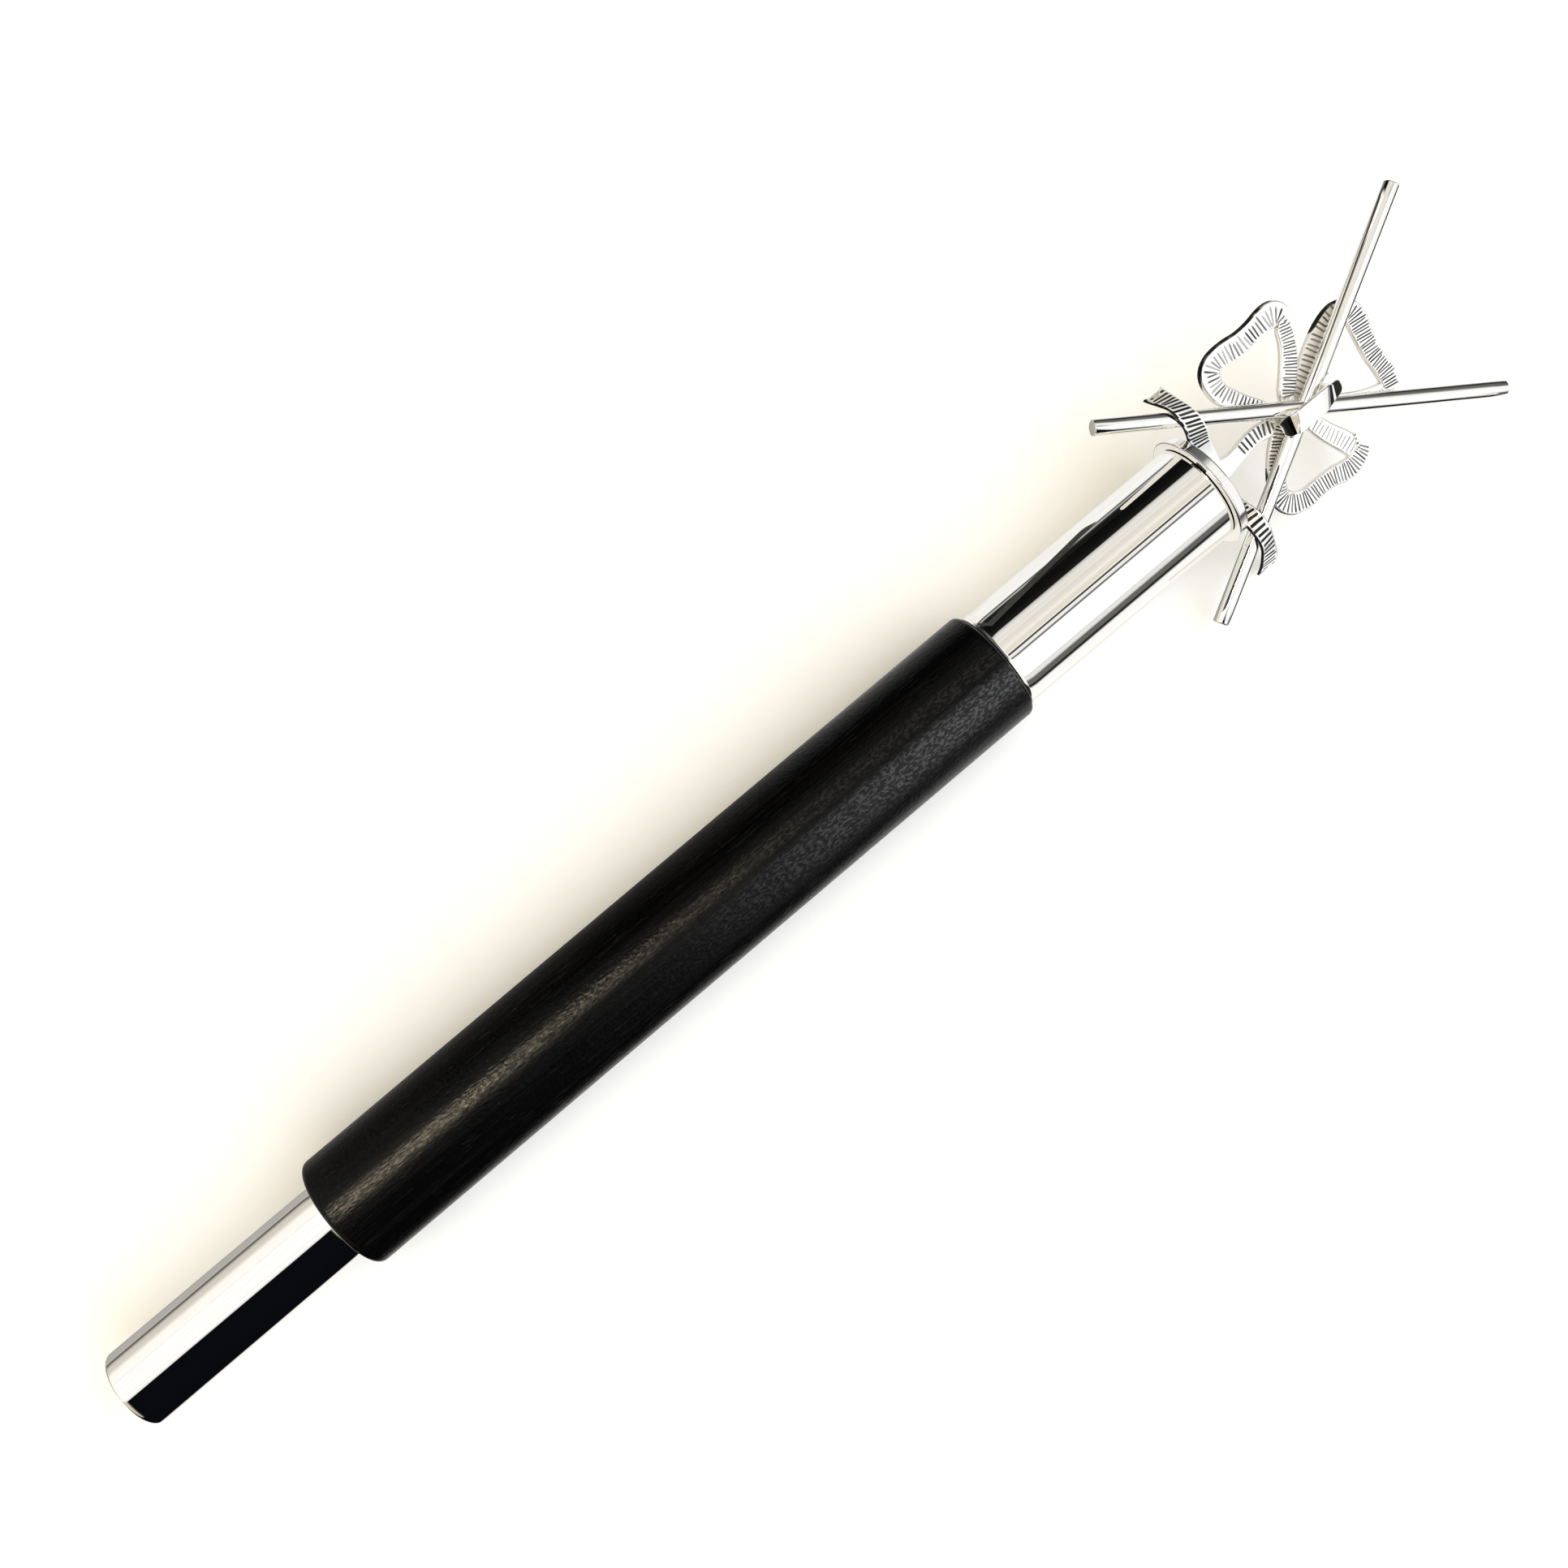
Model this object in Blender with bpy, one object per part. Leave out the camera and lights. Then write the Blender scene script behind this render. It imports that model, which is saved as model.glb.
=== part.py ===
"""A director of ceremonies' baton: two crossed wands tied with a ribbon bow, on a turned staff.

The baton lies on a table, butt at -X and head at +X, with +Z up.  Stations along the staff
are measured from the butt end.  The emblem at the head is drawn in its own frame: X runs
along the staff, Y is across the emblem (its left side positive) and Z faces its front.
"""

import math

import bmesh
import bpy
from mathutils import Vector

# Staff: turned pieces on one axis (metres).
BUTT_TUBE_RADIUS = 0.0108
BUTT_TUBE_LENGTH = 0.0662
BUTT_EDGE_RADIUS = 0.0009
GRIP_RADIUS = 0.0160
GRIP_LENGTH = 0.2174
GRIP_EDGE_RADIUS = 0.0018
HEAD_TUBE_RADIUS = 0.0141
HEAD_TUBE_LENGTH = 0.0703
CAP_LIP_RADIUS = 0.0164
CAP_LIP_THICKNESS = 0.0008
CAP_BOSS_RADIUS = 0.0158
CAP_BOSS_HEIGHT = 0.0026
CAP_EDGE_RADIUS = 0.0003
STAFF_SIDES = 48

# The staff's axis sits a little lower than the grip's radius, which leaves flats to lie on.
FLAT_DEPTH = 0.0001
AXIS_HEIGHT = GRIP_RADIUS - FLAT_DEPTH

# Touching pieces keep this gap.
SEAT_GAP = 0.0003

# Emblem: rolled about the staff's axis, its right side down, and leaning a little forwards.
EMBLEM_ROLL = math.radians(19.6)
EMBLEM_LEAN = math.radians(1.8)
WAND_RADIUS = 0.0022
WAND_LENGTH = 0.1200
WAND_ANGLE = math.radians(32.9)
WAND_EDGE = 0.0003
WAND_SIDES = 24
WAND_FRONT = 0.0023
CROSSING_ABOVE_CAP = 0.0325

# Ribbon bow: one casting, a flat plate of three loops on a stem, a knot and two tails.
PLATE_THICKNESS = 0.0020
PLATE_STEP = 0.0001
RIBBON_CHAMFER = 0.0003
TAIL_THICKNESS = 0.0010
FORK_DEPTH = 0.0030
POINTS_PER_SPAN = 4

MM = 0.001

# Centrelines of the cast ribbons in millimetres from the crossing of the wands:
# (along the staff, across to the left, ribbon width).
LEFT_LOOP = (
    (-1.6, 0.8, 3.6), (-0.7, 5.5, 4.8), (2.8, 10.5, 5.4), (5.6, 16.0, 5.5), (7.4, 20.6, 6.2),
    (6.2, 24.2, 8.0), (-0.5, 24.6, 6.0), (-7.5, 24.4, 6.0), (-13.2, 23.8, 6.0), (-16.4, 20.6, 6.0),
    (-16.0, 16.0, 5.7), (-12.8, 11.0, 5.5), (-8.6, 5.5, 4.8), (-6.2, 0.8, 3.6),
)
RIGHT_LOOP = (
    (-0.8, -0.8, 3.6), (1.5, -6.0, 4.8), (4.6, -11.0, 5.6), (7.2, -16.0, 5.8), (7.6, -19.6, 6.2),
    (4.4, -22.2, 6.8), (-1.5, -22.2, 6.5), (-8.0, -21.6, 6.2), (-13.8, -21.2, 6.1),
    (-17.3, -17.8, 6.0), (-16.0, -12.6, 5.8), (-12.2, -7.2, 5.4), (-8.8, -3.0, 4.6),
    (-6.4, -0.8, 3.6),
)
UPPER_LOOP = (
    (-1.0, 1.9, 3.2), (4.6, 3.4, 4.6), (10.0, 7.2, 5.4), (16.4, 11.3, 5.5), (22.0, 13.2, 5.8),
    (25.7, 10.4, 6.4), (25.6, 5.5, 6.2), (24.8, 0.0, 5.4), (25.1, -5.0, 5.6), (25.2, -9.0, 6.0),
    (22.0, -12.0, 5.4), (16.6, -9.8, 4.6), (11.0, -6.6, 4.4), (5.0, -3.0, 4.2), (-1.0, -1.9, 3.2),
)
STEM = (
    (-32.2, 0.6, 7.0), (-28.0, 0.6, 7.0), (-23.6, 0.4, 5.8), (-21.5, 0.5, 5.0), (-18.5, 1.0, 4.9),
    (-14.5, 1.3, 5.0), (-11.5, 1.1, 5.2), (-8.5, 0.2, 6.4), (-4.5, 0.0, 9.0), (-1.0, -0.1, 8.4),
    (2.5, -0.2, 5.6), (11.8, -0.2, 5.2),
)
# Knot: a pillow over the crossing, with a leg down to the plate on each side of the wands.
KNOT_START = -9.8
KNOT_END = 11.2
KNOT_WIDTH = 5.7
KNOT_DEPTH = 3.0
KNOT_END_FRONT = 5.7
KNOT_RISE = 1.2
KNOT_LEGS = ((-7.2, 1.2, 2.4), (10.0, 1.6, 4.0))

# Tails: (across from the axis, towards the front, lower edge, upper edge along the staff,
# how much further out the lower edge runs than the upper one).
LEFT_TAIL = (
    (0.5, -1.2, -31.4, -25.3, 0.0), (4.0, -0.1, -31.4, -25.3, 0.0), (8.0, 1.4, -31.4, -25.4, 0.4),
    (12.2, 3.8, -31.5, -25.6, 2.0), (14.8, 5.0, -31.5, -25.8, 2.6), (17.6, 5.4, -31.5, -25.9, 3.0),
    (20.3, 5.1, -31.6, -25.9, 3.2), (22.4, 3.6, -31.8, -26.1, 3.0), (24.1, 1.1, -32.2, -26.4, 2.2),
    (25.8, -1.8, -32.7, -26.7, 1.0), (27.6, -4.5, -33.2, -27.0, 0.0),
)
RIGHT_TAIL = (
    (0.5, -1.2, -31.6, -27.6, 0.0), (4.5, -0.6, -31.6, -27.6, 0.0), (8.5, 0.5, -31.4, -26.8, 0.4),
    (11.8, 2.8, -31.2, -26.2, 1.4), (14.3, 4.6, -31.1, -25.9, 2.2), (17.0, 5.3, -31.0, -25.8, 2.8),
    (19.8, 5.2, -31.0, -25.8, 2.8), (22.6, 4.0, -31.1, -25.8, 2.2), (25.2, 2.2, -31.4, -25.7, 1.4),
    (27.6, 0.2, -31.8, -25.6, 0.8), (29.9, -2.2, -32.2, -25.6, 0.4), (32.0, -4.8, -32.6, -25.6, 0.0),
)

GRIP_START = BUTT_TUBE_LENGTH
GRIP_END = GRIP_START + GRIP_LENGTH
CAP_START = GRIP_END + HEAD_TUBE_LENGTH
CAP_TOP = CAP_START + CAP_LIP_THICKNESS + CAP_BOSS_HEIGHT


def clear_scene():
    for old in list(bpy.data.objects):
        bpy.data.objects.remove(old, do_unlink=True)


def metal_or_wood(name, colour, roughness, metallic):
    """A material of its own for one piece."""
    material = bpy.data.materials.new(name)
    material.use_nodes = True
    shader = material.node_tree.nodes["Principled BSDF"]
    shader.inputs["Base Color"].default_value = (*colour, 1.0)
    shader.inputs["Roughness"].default_value = roughness
    shader.inputs["Metallic"].default_value = metallic
    return material


def silver_plate(piece_name):
    return metal_or_wood(piece_name + "_silver_plate", (0.93, 0.92, 0.89), 0.06, 1.0)


def ebonised(piece_name):
    return metal_or_wood(piece_name + "_ebonised", (0.012, 0.011, 0.011), 0.38, 0.0)


def add_object(name, bm, material=None, parent=None, smooth_angle=35.0):
    mesh = bpy.data.meshes.new(name)
    bmesh.ops.recalc_face_normals(bm, faces=bm.faces)
    bm.to_mesh(mesh)
    bm.free()
    mesh.shade_smooth()
    mesh.set_sharp_from_angle(angle=math.radians(smooth_angle))
    piece = bpy.data.objects.new(name, mesh)
    bpy.context.scene.collection.objects.link(piece)
    if material:
        mesh.materials.append(material)
    piece.parent = parent
    return piece


def add_empty(name, location, rotation=(0.0, 0.0, 0.0), parent=None):
    empty = bpy.data.objects.new(name, None)
    empty.location = location
    empty.rotation_euler = rotation
    empty.parent = parent
    bpy.context.scene.collection.objects.link(empty)
    return empty


def make_guide(piece):
    """Marks an object as a cutter or a joined shape, which is no piece by itself."""
    piece.hide_render = True
    piece.display_type = "WIRE"
    return piece


def add_boolean(piece, other, operation):
    modifier = piece.modifiers.new(operation.lower() + "_" + other.name, "BOOLEAN")
    modifier.operation = operation
    modifier.solver = "EXACT"
    modifier.object = other


def edge_arc(face_station, radius, edge_radius, outward, steps=4):
    """Profile points of a rounded end: from the flat face out to the side, or back."""
    centre = face_station - outward * edge_radius
    points = []
    for step in range(steps + 1):
        turn = 0.5 * math.pi * step / steps
        points.append((centre + outward * edge_radius * math.cos(turn),
                       radius - edge_radius + edge_radius * math.sin(turn)))
    return points if outward < 0 else points[::-1]


def turned(name, profile, sides, material=None, parent=None):
    """A solid turned about X from profile points (station, radius), closed on the axis."""
    bm = bmesh.new()
    on_axis = [(profile[0][0], 0.0), *profile, (profile[-1][0], 0.0)]
    verts = [bm.verts.new((station, 0.0, radius)) for station, radius in on_axis]
    edges = [bm.edges.new(pair) for pair in zip(verts, verts[1:])]
    bmesh.ops.spin(bm, geom=verts + edges, cent=(0.0, 0.0, 0.0), axis=(1.0, 0.0, 0.0),
                   dvec=(0.0, 0.0, 0.0), angle=math.tau, steps=sides, use_duplicate=False)
    bmesh.ops.remove_doubles(bm, verts=bm.verts, dist=1e-6)
    return add_object(name, bm, material, parent)


def smooth_path(points, per_span=POINTS_PER_SPAN):
    """A Catmull-Rom curve through points of any number of values."""
    rows = [Vector(point) for point in points]
    before = rows[0] * 2 - rows[1]
    after = rows[-1] * 2 - rows[-2]
    rows = [before, *rows, after]
    path = []
    for a, b, c, d in zip(rows, rows[1:], rows[2:], rows[3:]):
        for step in range(per_span):
            t = step / per_span
            path.append(0.5 * (2 * b + (c - a) * t + (2 * a - 5 * b + 4 * c - d) * t ** 2
                               + (3 * b - a - 3 * c + d) * t ** 3))
    path.append(rows[-2])
    return path


def sweep(rings, name, parent=None):
    """A closed solid through rings of points, each ring in the same order."""
    bm = bmesh.new()
    levels = [[bm.verts.new(point) for point in ring] for ring in rings]
    count = len(levels[0])
    for level, following in zip(levels, levels[1:]):
        for i in range(count):
            j = (i + 1) % count
            bm.faces.new((level[i], level[j], following[j], following[i]))
    bm.faces.new(levels[0])
    bm.faces.new(levels[-1])
    bmesh.ops.triangulate(bm, faces=bm.faces)
    return add_object(name, bm, parent=parent)


def flat_ribbon(name, points, front, parent):
    """A ribbon that bends in the plane of the bow, with its front edges eased."""
    path = smooth_path(points)
    rings = []
    for i, (along, across, width) in enumerate(path):
        ahead = path[min(i + 1, len(path) - 1)] - path[max(i - 1, 0)]
        side = Vector((-ahead.y, ahead.x, 0.0)).normalized()
        middle = Vector((along, across, 0.0)) * MM
        half = 0.5 * width * MM
        back = front - PLATE_THICKNESS
        section = ((-half, back), (-half, front - RIBBON_CHAMFER), (-half + RIBBON_CHAMFER, front),
                   (half - RIBBON_CHAMFER, front), (half, front - RIBBON_CHAMFER), (half, back))
        rings.append([middle + side * offset + Vector((0.0, 0.0, level))
                      for offset, level in section])
    return make_guide(sweep(rings, name, parent))


def knot_pillow(parent):
    """The knot over the crossing: a crowned pillow with rounded ends."""
    half_length = 0.5 * (KNOT_END - KNOT_START)
    centre = 0.5 * (KNOT_END + KNOT_START)
    section = [(math.copysign(abs(math.cos(turn)) ** 0.6, math.cos(turn)),
                math.copysign(abs(math.sin(turn)) ** 0.8, math.sin(turn)))
               for turn in (math.tau * i / 16 for i in range(16))]
    rings = []
    for step in range(15):
        place = -math.cos(math.pi * (step + 0.5) / 15)
        fullness = (1.0 - abs(place) ** 3) ** 0.5
        middle = Vector((centre + half_length * place, 0.0,
                         KNOT_END_FRONT + KNOT_RISE * math.cos(0.5 * math.pi * place)))
        rings.append([(middle + Vector((0.0, across * 0.5 * KNOT_WIDTH * fullness,
                                        depth * 0.5 * KNOT_DEPTH * fullness))) * MM
                      for across, depth in section])
    return make_guide(sweep(rings, "knot", parent))


def knot_leg(number, along, thickness, width, parent):
    """A short post that joins the pillow to the plate behind it."""
    block = bmesh.new()
    bmesh.ops.create_cube(block, size=1.0)
    height = KNOT_END_FRONT + 1.0
    bmesh.ops.scale(block, vec=(thickness * MM, width * MM, height * MM), verts=block.verts)
    leg = make_guide(add_object(f"knot_leg_{number}", block, parent=parent))
    leg.location = (along * MM, 0.0, (0.5 * height - 1.0) * MM)
    return leg


def tail(name, points, side, parent):
    """A ribbon standing on its edge, arched over a wand, with a swallow-tail end."""
    path = smooth_path(points, 2)
    half = 0.5 * TAIL_THICKNESS
    rings = []
    for i, (across, front, low, high, lean) in enumerate(path):
        ahead = path[min(i + 1, len(path) - 1)] - path[max(i - 1, 0)]
        outward = Vector((0.0, -ahead[1], ahead[0])).normalized()
        forward = Vector((0.0, ahead[0], ahead[1])).normalized()
        fork = FORK_DEPTH if i == len(path) - 1 else 0.0
        lower = Vector((low, across + 0.5 * lean, front)) * MM
        upper = Vector((high, across - 0.5 * lean, front)) * MM
        middle = 0.5 * (lower + upper) - forward * fork
        ring = [lower + outward * half, middle + outward * half, upper + outward * half,
                upper - outward * half, middle - outward * half, lower - outward * half]
        rings.append([Vector((point.x, side * point.y, point.z)) for point in ring])
    return make_guide(sweep(rings, name, parent))


def build_staff(baton):
    axis = add_empty("staff_axis", (0.0, 0.0, AXIS_HEIGHT), parent=baton)
    turned("butt_tube",
           edge_arc(0.0, BUTT_TUBE_RADIUS, BUTT_EDGE_RADIUS, -1.0)
           + [(GRIP_START - SEAT_GAP, BUTT_TUBE_RADIUS)],
           STAFF_SIDES, silver_plate("butt_tube"), axis)
    grip = turned("wood_grip",
                  edge_arc(GRIP_START, GRIP_RADIUS, GRIP_EDGE_RADIUS, -1.0)
                  + edge_arc(GRIP_END, GRIP_RADIUS, GRIP_EDGE_RADIUS, 1.0),
                  STAFF_SIDES, ebonised("wood_grip"), axis)
    turned("head_tube",
           [(GRIP_END + SEAT_GAP, HEAD_TUBE_RADIUS), (CAP_START - SEAT_GAP, HEAD_TUBE_RADIUS)],
           STAFF_SIDES, silver_plate("head_tube"), axis)
    lip_top = CAP_START + CAP_LIP_THICKNESS
    cap = turned("head_cap",
                 [(CAP_START, CAP_LIP_RADIUS), (lip_top, CAP_LIP_RADIUS), (lip_top, CAP_BOSS_RADIUS)]
                 + edge_arc(CAP_TOP, CAP_BOSS_RADIUS, CAP_EDGE_RADIUS, 1.0, 2),
                 STAFF_SIDES, silver_plate("head_cap"), axis)
    table = bmesh.new()
    bmesh.ops.create_cube(table, size=1.0)
    cutter_depth = 0.01
    bmesh.ops.scale(table, vec=(1.0, 0.1, cutter_depth), verts=table.verts)
    below = make_guide(add_object("table_cutter", table, parent=axis))
    below.location.z = -AXIS_HEIGHT - 0.5 * cutter_depth
    for piece in (grip, cap):
        add_boolean(piece, below, "DIFFERENCE")


def build_wands(emblem):
    """Two round wands, halved into each other where they cross."""
    crossing = add_empty("wand_crossing", (CROSSING_ABOVE_CAP, 0.0, WAND_FRONT), parent=emblem)
    half = 0.5 * WAND_LENGTH
    profile = [(-half, WAND_RADIUS - WAND_EDGE), (-half + WAND_EDGE, WAND_RADIUS),
               (half - WAND_EDGE, WAND_RADIUS), (half, WAND_RADIUS - WAND_EDGE)]
    notch_width = 2 * (WAND_RADIUS + SEAT_GAP)
    notch_depth = 2 * WAND_RADIUS
    notch_length = 6 * WAND_RADIUS
    # The left wand's tip leans to the left; it keeps its front half at the crossing.
    for name, other, turn in (("wand_left", "right", 1.0), ("wand_right", "left", -1.0)):
        wand = turned(name, profile, WAND_SIDES, silver_plate(name), crossing)
        wand.rotation_euler.z = turn * WAND_ANGLE
        block = bmesh.new()
        bmesh.ops.create_cube(block, size=1.0)
        bmesh.ops.scale(block, vec=(notch_length, notch_width, notch_depth), verts=block.verts)
        notch = make_guide(add_object("notch_for_" + other, block, parent=crossing))
        notch.rotation_euler.z = -turn * WAND_ANGLE
        notch.location.z = -turn * 0.5 * (notch_depth - SEAT_GAP)
        add_boolean(wand, notch, "DIFFERENCE")


def build_bow(emblem):
    """The ribbon bow: flat loops and stem, the knot in front and a tail on each side."""
    crossing = add_empty("bow_crossing", (CROSSING_ABOVE_CAP, 0.0, 0.0), parent=emblem)
    front = WAND_FRONT - WAND_RADIUS - SEAT_GAP
    bow = flat_ribbon("ribbon_bow", LEFT_LOOP, front, crossing)
    bow.hide_render = False
    bow.display_type = "TEXTURED"
    bow.data.materials.append(silver_plate("ribbon_bow"))
    joined = [
        flat_ribbon("right_loop", RIGHT_LOOP, front - PLATE_STEP, crossing),
        flat_ribbon("upper_loop", UPPER_LOOP, front - 2 * PLATE_STEP, crossing),
        flat_ribbon("stem", STEM, front - 3 * PLATE_STEP, crossing),
        knot_pillow(crossing),
        *(knot_leg(number, *leg, crossing) for number, leg in enumerate(KNOT_LEGS, 1)),
        tail("left_tail", LEFT_TAIL, 1.0, crossing),
        tail("right_tail", RIGHT_TAIL, -1.0, crossing),
    ]
    for shape in joined:
        add_boolean(bow, shape, "UNION")


def centre_on_table(baton):
    """Moves the whole baton so that the middle of its footprint is at the origin."""
    bpy.context.view_layer.update()
    graph = bpy.context.evaluated_depsgraph_get()
    corners = []
    for piece in bpy.data.objects:
        if piece.type == "MESH" and not piece.hide_render:
            shape = piece.evaluated_get(graph)
            corners += [shape.matrix_world @ vertex.co for vertex in shape.data.vertices]
    for axis in (0, 1):
        values = [corner[axis] for corner in corners]
        baton.location[axis] = -0.5 * (min(values) + max(values))
    bpy.context.view_layer.update()


clear_scene()
baton_root = add_empty("baton", (0.0, 0.0, 0.0))
emblem_foot = add_empty("emblem_foot", (CAP_TOP, 0.0, AXIS_HEIGHT), (EMBLEM_ROLL, 0.0, 0.0), baton_root)
leaning_emblem = add_empty("leaning_emblem", (0.0, 0.0, 0.0), (0.0, -EMBLEM_LEAN, 0.0), emblem_foot)
build_staff(baton_root)
build_wands(leaning_emblem)
build_bow(leaning_emblem)
centre_on_table(baton_root)
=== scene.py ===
import math

import bmesh
import bpy
from mathutils import Matrix, Vector


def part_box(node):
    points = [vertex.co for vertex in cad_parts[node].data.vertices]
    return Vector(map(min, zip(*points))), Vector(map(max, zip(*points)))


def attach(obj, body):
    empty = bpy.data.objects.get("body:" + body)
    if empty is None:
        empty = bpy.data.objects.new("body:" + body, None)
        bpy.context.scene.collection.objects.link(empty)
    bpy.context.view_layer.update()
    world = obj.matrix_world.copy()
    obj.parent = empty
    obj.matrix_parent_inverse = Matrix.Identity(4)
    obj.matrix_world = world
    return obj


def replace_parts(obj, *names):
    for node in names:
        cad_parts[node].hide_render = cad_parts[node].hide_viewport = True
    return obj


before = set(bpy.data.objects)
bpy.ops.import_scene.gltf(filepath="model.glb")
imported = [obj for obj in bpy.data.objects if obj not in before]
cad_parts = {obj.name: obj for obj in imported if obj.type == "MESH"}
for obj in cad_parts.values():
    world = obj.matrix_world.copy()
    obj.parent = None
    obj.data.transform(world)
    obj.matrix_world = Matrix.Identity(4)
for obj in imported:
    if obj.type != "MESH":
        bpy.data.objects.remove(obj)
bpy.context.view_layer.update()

# ---------------------------------------------------------------------------------------
# Butt tube.  A drawn brass tube with its end closed, silver plated and buffed bright.  It
# is turned true, its end edge is eased, and it flares a hair where it seats on the grip.
# ---------------------------------------------------------------------------------------


class Link:
    """A socket of a node tree.  Arithmetic on it adds Math nodes to the tree."""

    def __init__(self, tree, socket=None):
        self.tree = tree
        self.socket = socket

    def node(self, kind, settings=(), inputs=(), outlet=0):
        """Adds a node: its settings first, then a value or a link for each socket named."""
        node = self.tree.nodes.new(kind)
        for name, value in dict(settings).items():
            if name == "stops":
                for position, colour in value[1:-1]:
                    node.color_ramp.elements.new(position)
                for element, (position, colour) in zip(node.color_ramp.elements, value):
                    element.position = position
                    element.color = colour
            else:
                setattr(node, name, value)
        for name, value in dict(inputs).items():
            if isinstance(value, Link):
                self.tree.links.new(value.socket, node.inputs[name])
            else:
                node.inputs[name].default_value = value
        return Link(self.tree, node.outputs[outlet])

    def math(self, operation, *others):
        """A Math node with this link in its first socket and the others after it."""
        return self.node("ShaderNodeMath", {"operation": operation}, enumerate((self, *others)))

    def shifted(self, offset):
        """This vector plus another."""
        return self.node("ShaderNodeVectorMath", {"operation": "ADD"}, {0: self, 1: offset})

    def scaled(self, factor):
        """This vector, or colour, times a value."""
        return self.node("ShaderNodeVectorMath", {"operation": "SCALE"}, {0: self, "Scale": factor})

    def smooth(self, start, end):
        """0 before start, 1 after end, and a smooth step between them."""
        return self.node("ShaderNodeMapRange", {"interpolation_type": "SMOOTHSTEP"},
                         {"Value": self, "From Min": start, "From Max": end})

    def between(self, low, high, soft):
        """1 from low to high, fading to 0 over soft on either side."""
        return self.smooth(low - soft, low + soft) * (1 - self.smooth(high - soft, high + soft))

    def mix(self, first, second):
        """A colour between two colours, by this link."""
        return self.node("ShaderNodeMix", {"data_type": "RGBA"},
                         {"Factor": self, 6: first, 7: second}, 2)

    def __add__(self, other):
        return self.math("ADD", other)

    def __sub__(self, other):
        return self.math("SUBTRACT", other)

    def __rsub__(self, other):
        return self.node("ShaderNodeMath", {"operation": "SUBTRACT"}, {0: other, 1: self})

    def __mul__(self, other):
        return self.math("MULTIPLY", other)

    def __truediv__(self, other):
        return self.math("DIVIDE", other)

    __radd__ = __add__
    __rmul__ = __mul__


def new_finish(name, **uniform):
    """A material with its shader's plain values set, and a Link to build its pattern with."""
    material = bpy.data.materials.new(name)
    material.use_nodes = True
    shader = material.node_tree.nodes["Principled BSDF"]
    for socket, value in uniform.items():
        shader.inputs[socket.replace("_", " ")].default_value = value
    return material, shader, Link(material.node_tree)


def feed(shader, **links):
    """Links a finish's varying colours and values to its shader."""
    for socket, link in links.items():
        link.tree.links.new(link.socket, shader.inputs[socket.replace("_", " ")])


SILVER = (0.955, 0.945, 0.915, 1.0)
SILVER_TONED = (0.90, 0.875, 0.81, 1.0)


def buffed_silver(name, turn=(0.0, 0.0, 0.0)):
    """Bright silver plate: buffing lines along the piece, light toning and a few hairlines."""
    material, shader, make = new_finish(name, Metallic=1.0)
    place = make.node("ShaderNodeTexCoord", outlet=3)
    along = make.node("ShaderNodeMapping", (), {"Vector": place, "Rotation": turn})
    lines = make.node("ShaderNodeMapping", (), {"Vector": along, "Scale": (14.0, 1500.0, 1500.0)})
    buffing = make.node("ShaderNodeTexNoise", (), {"Vector": lines, "Scale": 1.0, "Detail": 3.0})
    clouds = make.node("ShaderNodeTexNoise", (), {"Vector": along, "Scale": 55.0, "Detail": 4.0})
    fine = make.node("ShaderNodeTexNoise", (), {"Vector": along, "Scale": 900.0, "Detail": 2.0})
    toning = clouds.smooth(0.52, 0.80) * 0.55
    colour = toning.mix(SILVER, SILVER_TONED)
    roughness = 0.018 + clouds.smooth(0.45, 0.75) * 0.022 + fine.smooth(0.55, 0.8) * 0.02
    bump = make.node("ShaderNodeBump", (), {"Height": buffing * 0.7 + fine * 0.3, "Strength": 0.05,
                                            "Distance": 0.00005})
    feed(shader, Base_Color=colour, Roughness=roughness, Normal=bump)
    return material


butt_low, butt_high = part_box("butt_tube")
axis_y = 0.5 * (butt_low.y + butt_high.y)
axis_z = 0.5 * (butt_low.z + butt_high.z)


def quarter(station, radius, edge, start, end, steps=6):
    """Profile points of an eased edge, from one angle to another, in quarter turns."""
    return [(station + edge * math.cos(0.5 * math.pi * turn),
             radius + edge * math.sin(0.5 * math.pi * turn))
            for turn in (start + (end - start) * step / steps for step in range(steps + 1))]


def turned(profile, sides, centre_y=0.0, centre_z=0.0):
    """A closed solid turned about a line along x, from points (station, radius)."""
    bm = bmesh.new()
    closed = [(profile[0][0], 0.0), *profile, (profile[-1][0], 0.0)]
    verts = [bm.verts.new((station, centre_y, centre_z + radius)) for station, radius in closed]
    edges = [bm.edges.new(pair) for pair in zip(verts, verts[1:])]
    bmesh.ops.spin(bm, geom=verts + edges, cent=(0.0, centre_y, centre_z), axis=(1.0, 0.0, 0.0),
                   angle=math.tau, steps=sides)
    bmesh.ops.remove_doubles(bm, verts=bm.verts, dist=1e-6)
    bmesh.ops.recalc_face_normals(bm, faces=bm.faces)
    return bm


def add_piece(name, bm, finish, sharp):
    """A finished piece, with its edges sharp past an angle in degrees."""
    mesh = bpy.data.meshes.new(name)
    bm.to_mesh(mesh)
    bm.free()
    mesh.shade_smooth()
    mesh.set_sharp_from_angle(angle=math.radians(sharp))
    mesh.materials.append(finish)
    piece = bpy.data.objects.new(name, mesh)
    bpy.context.scene.collection.objects.link(piece)
    return piece


def turn_on_axis(name, profile, sides, finish, sharp=40.0):
    """A piece turned about the staff's axis, cut flat where it rests on the table."""
    bm = turned(profile, sides, axis_y, axis_z)
    for vert in bm.verts:
        vert.co.z = max(vert.co.z, 0.0)
    return add_piece(name, bm, finish, sharp)


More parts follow.
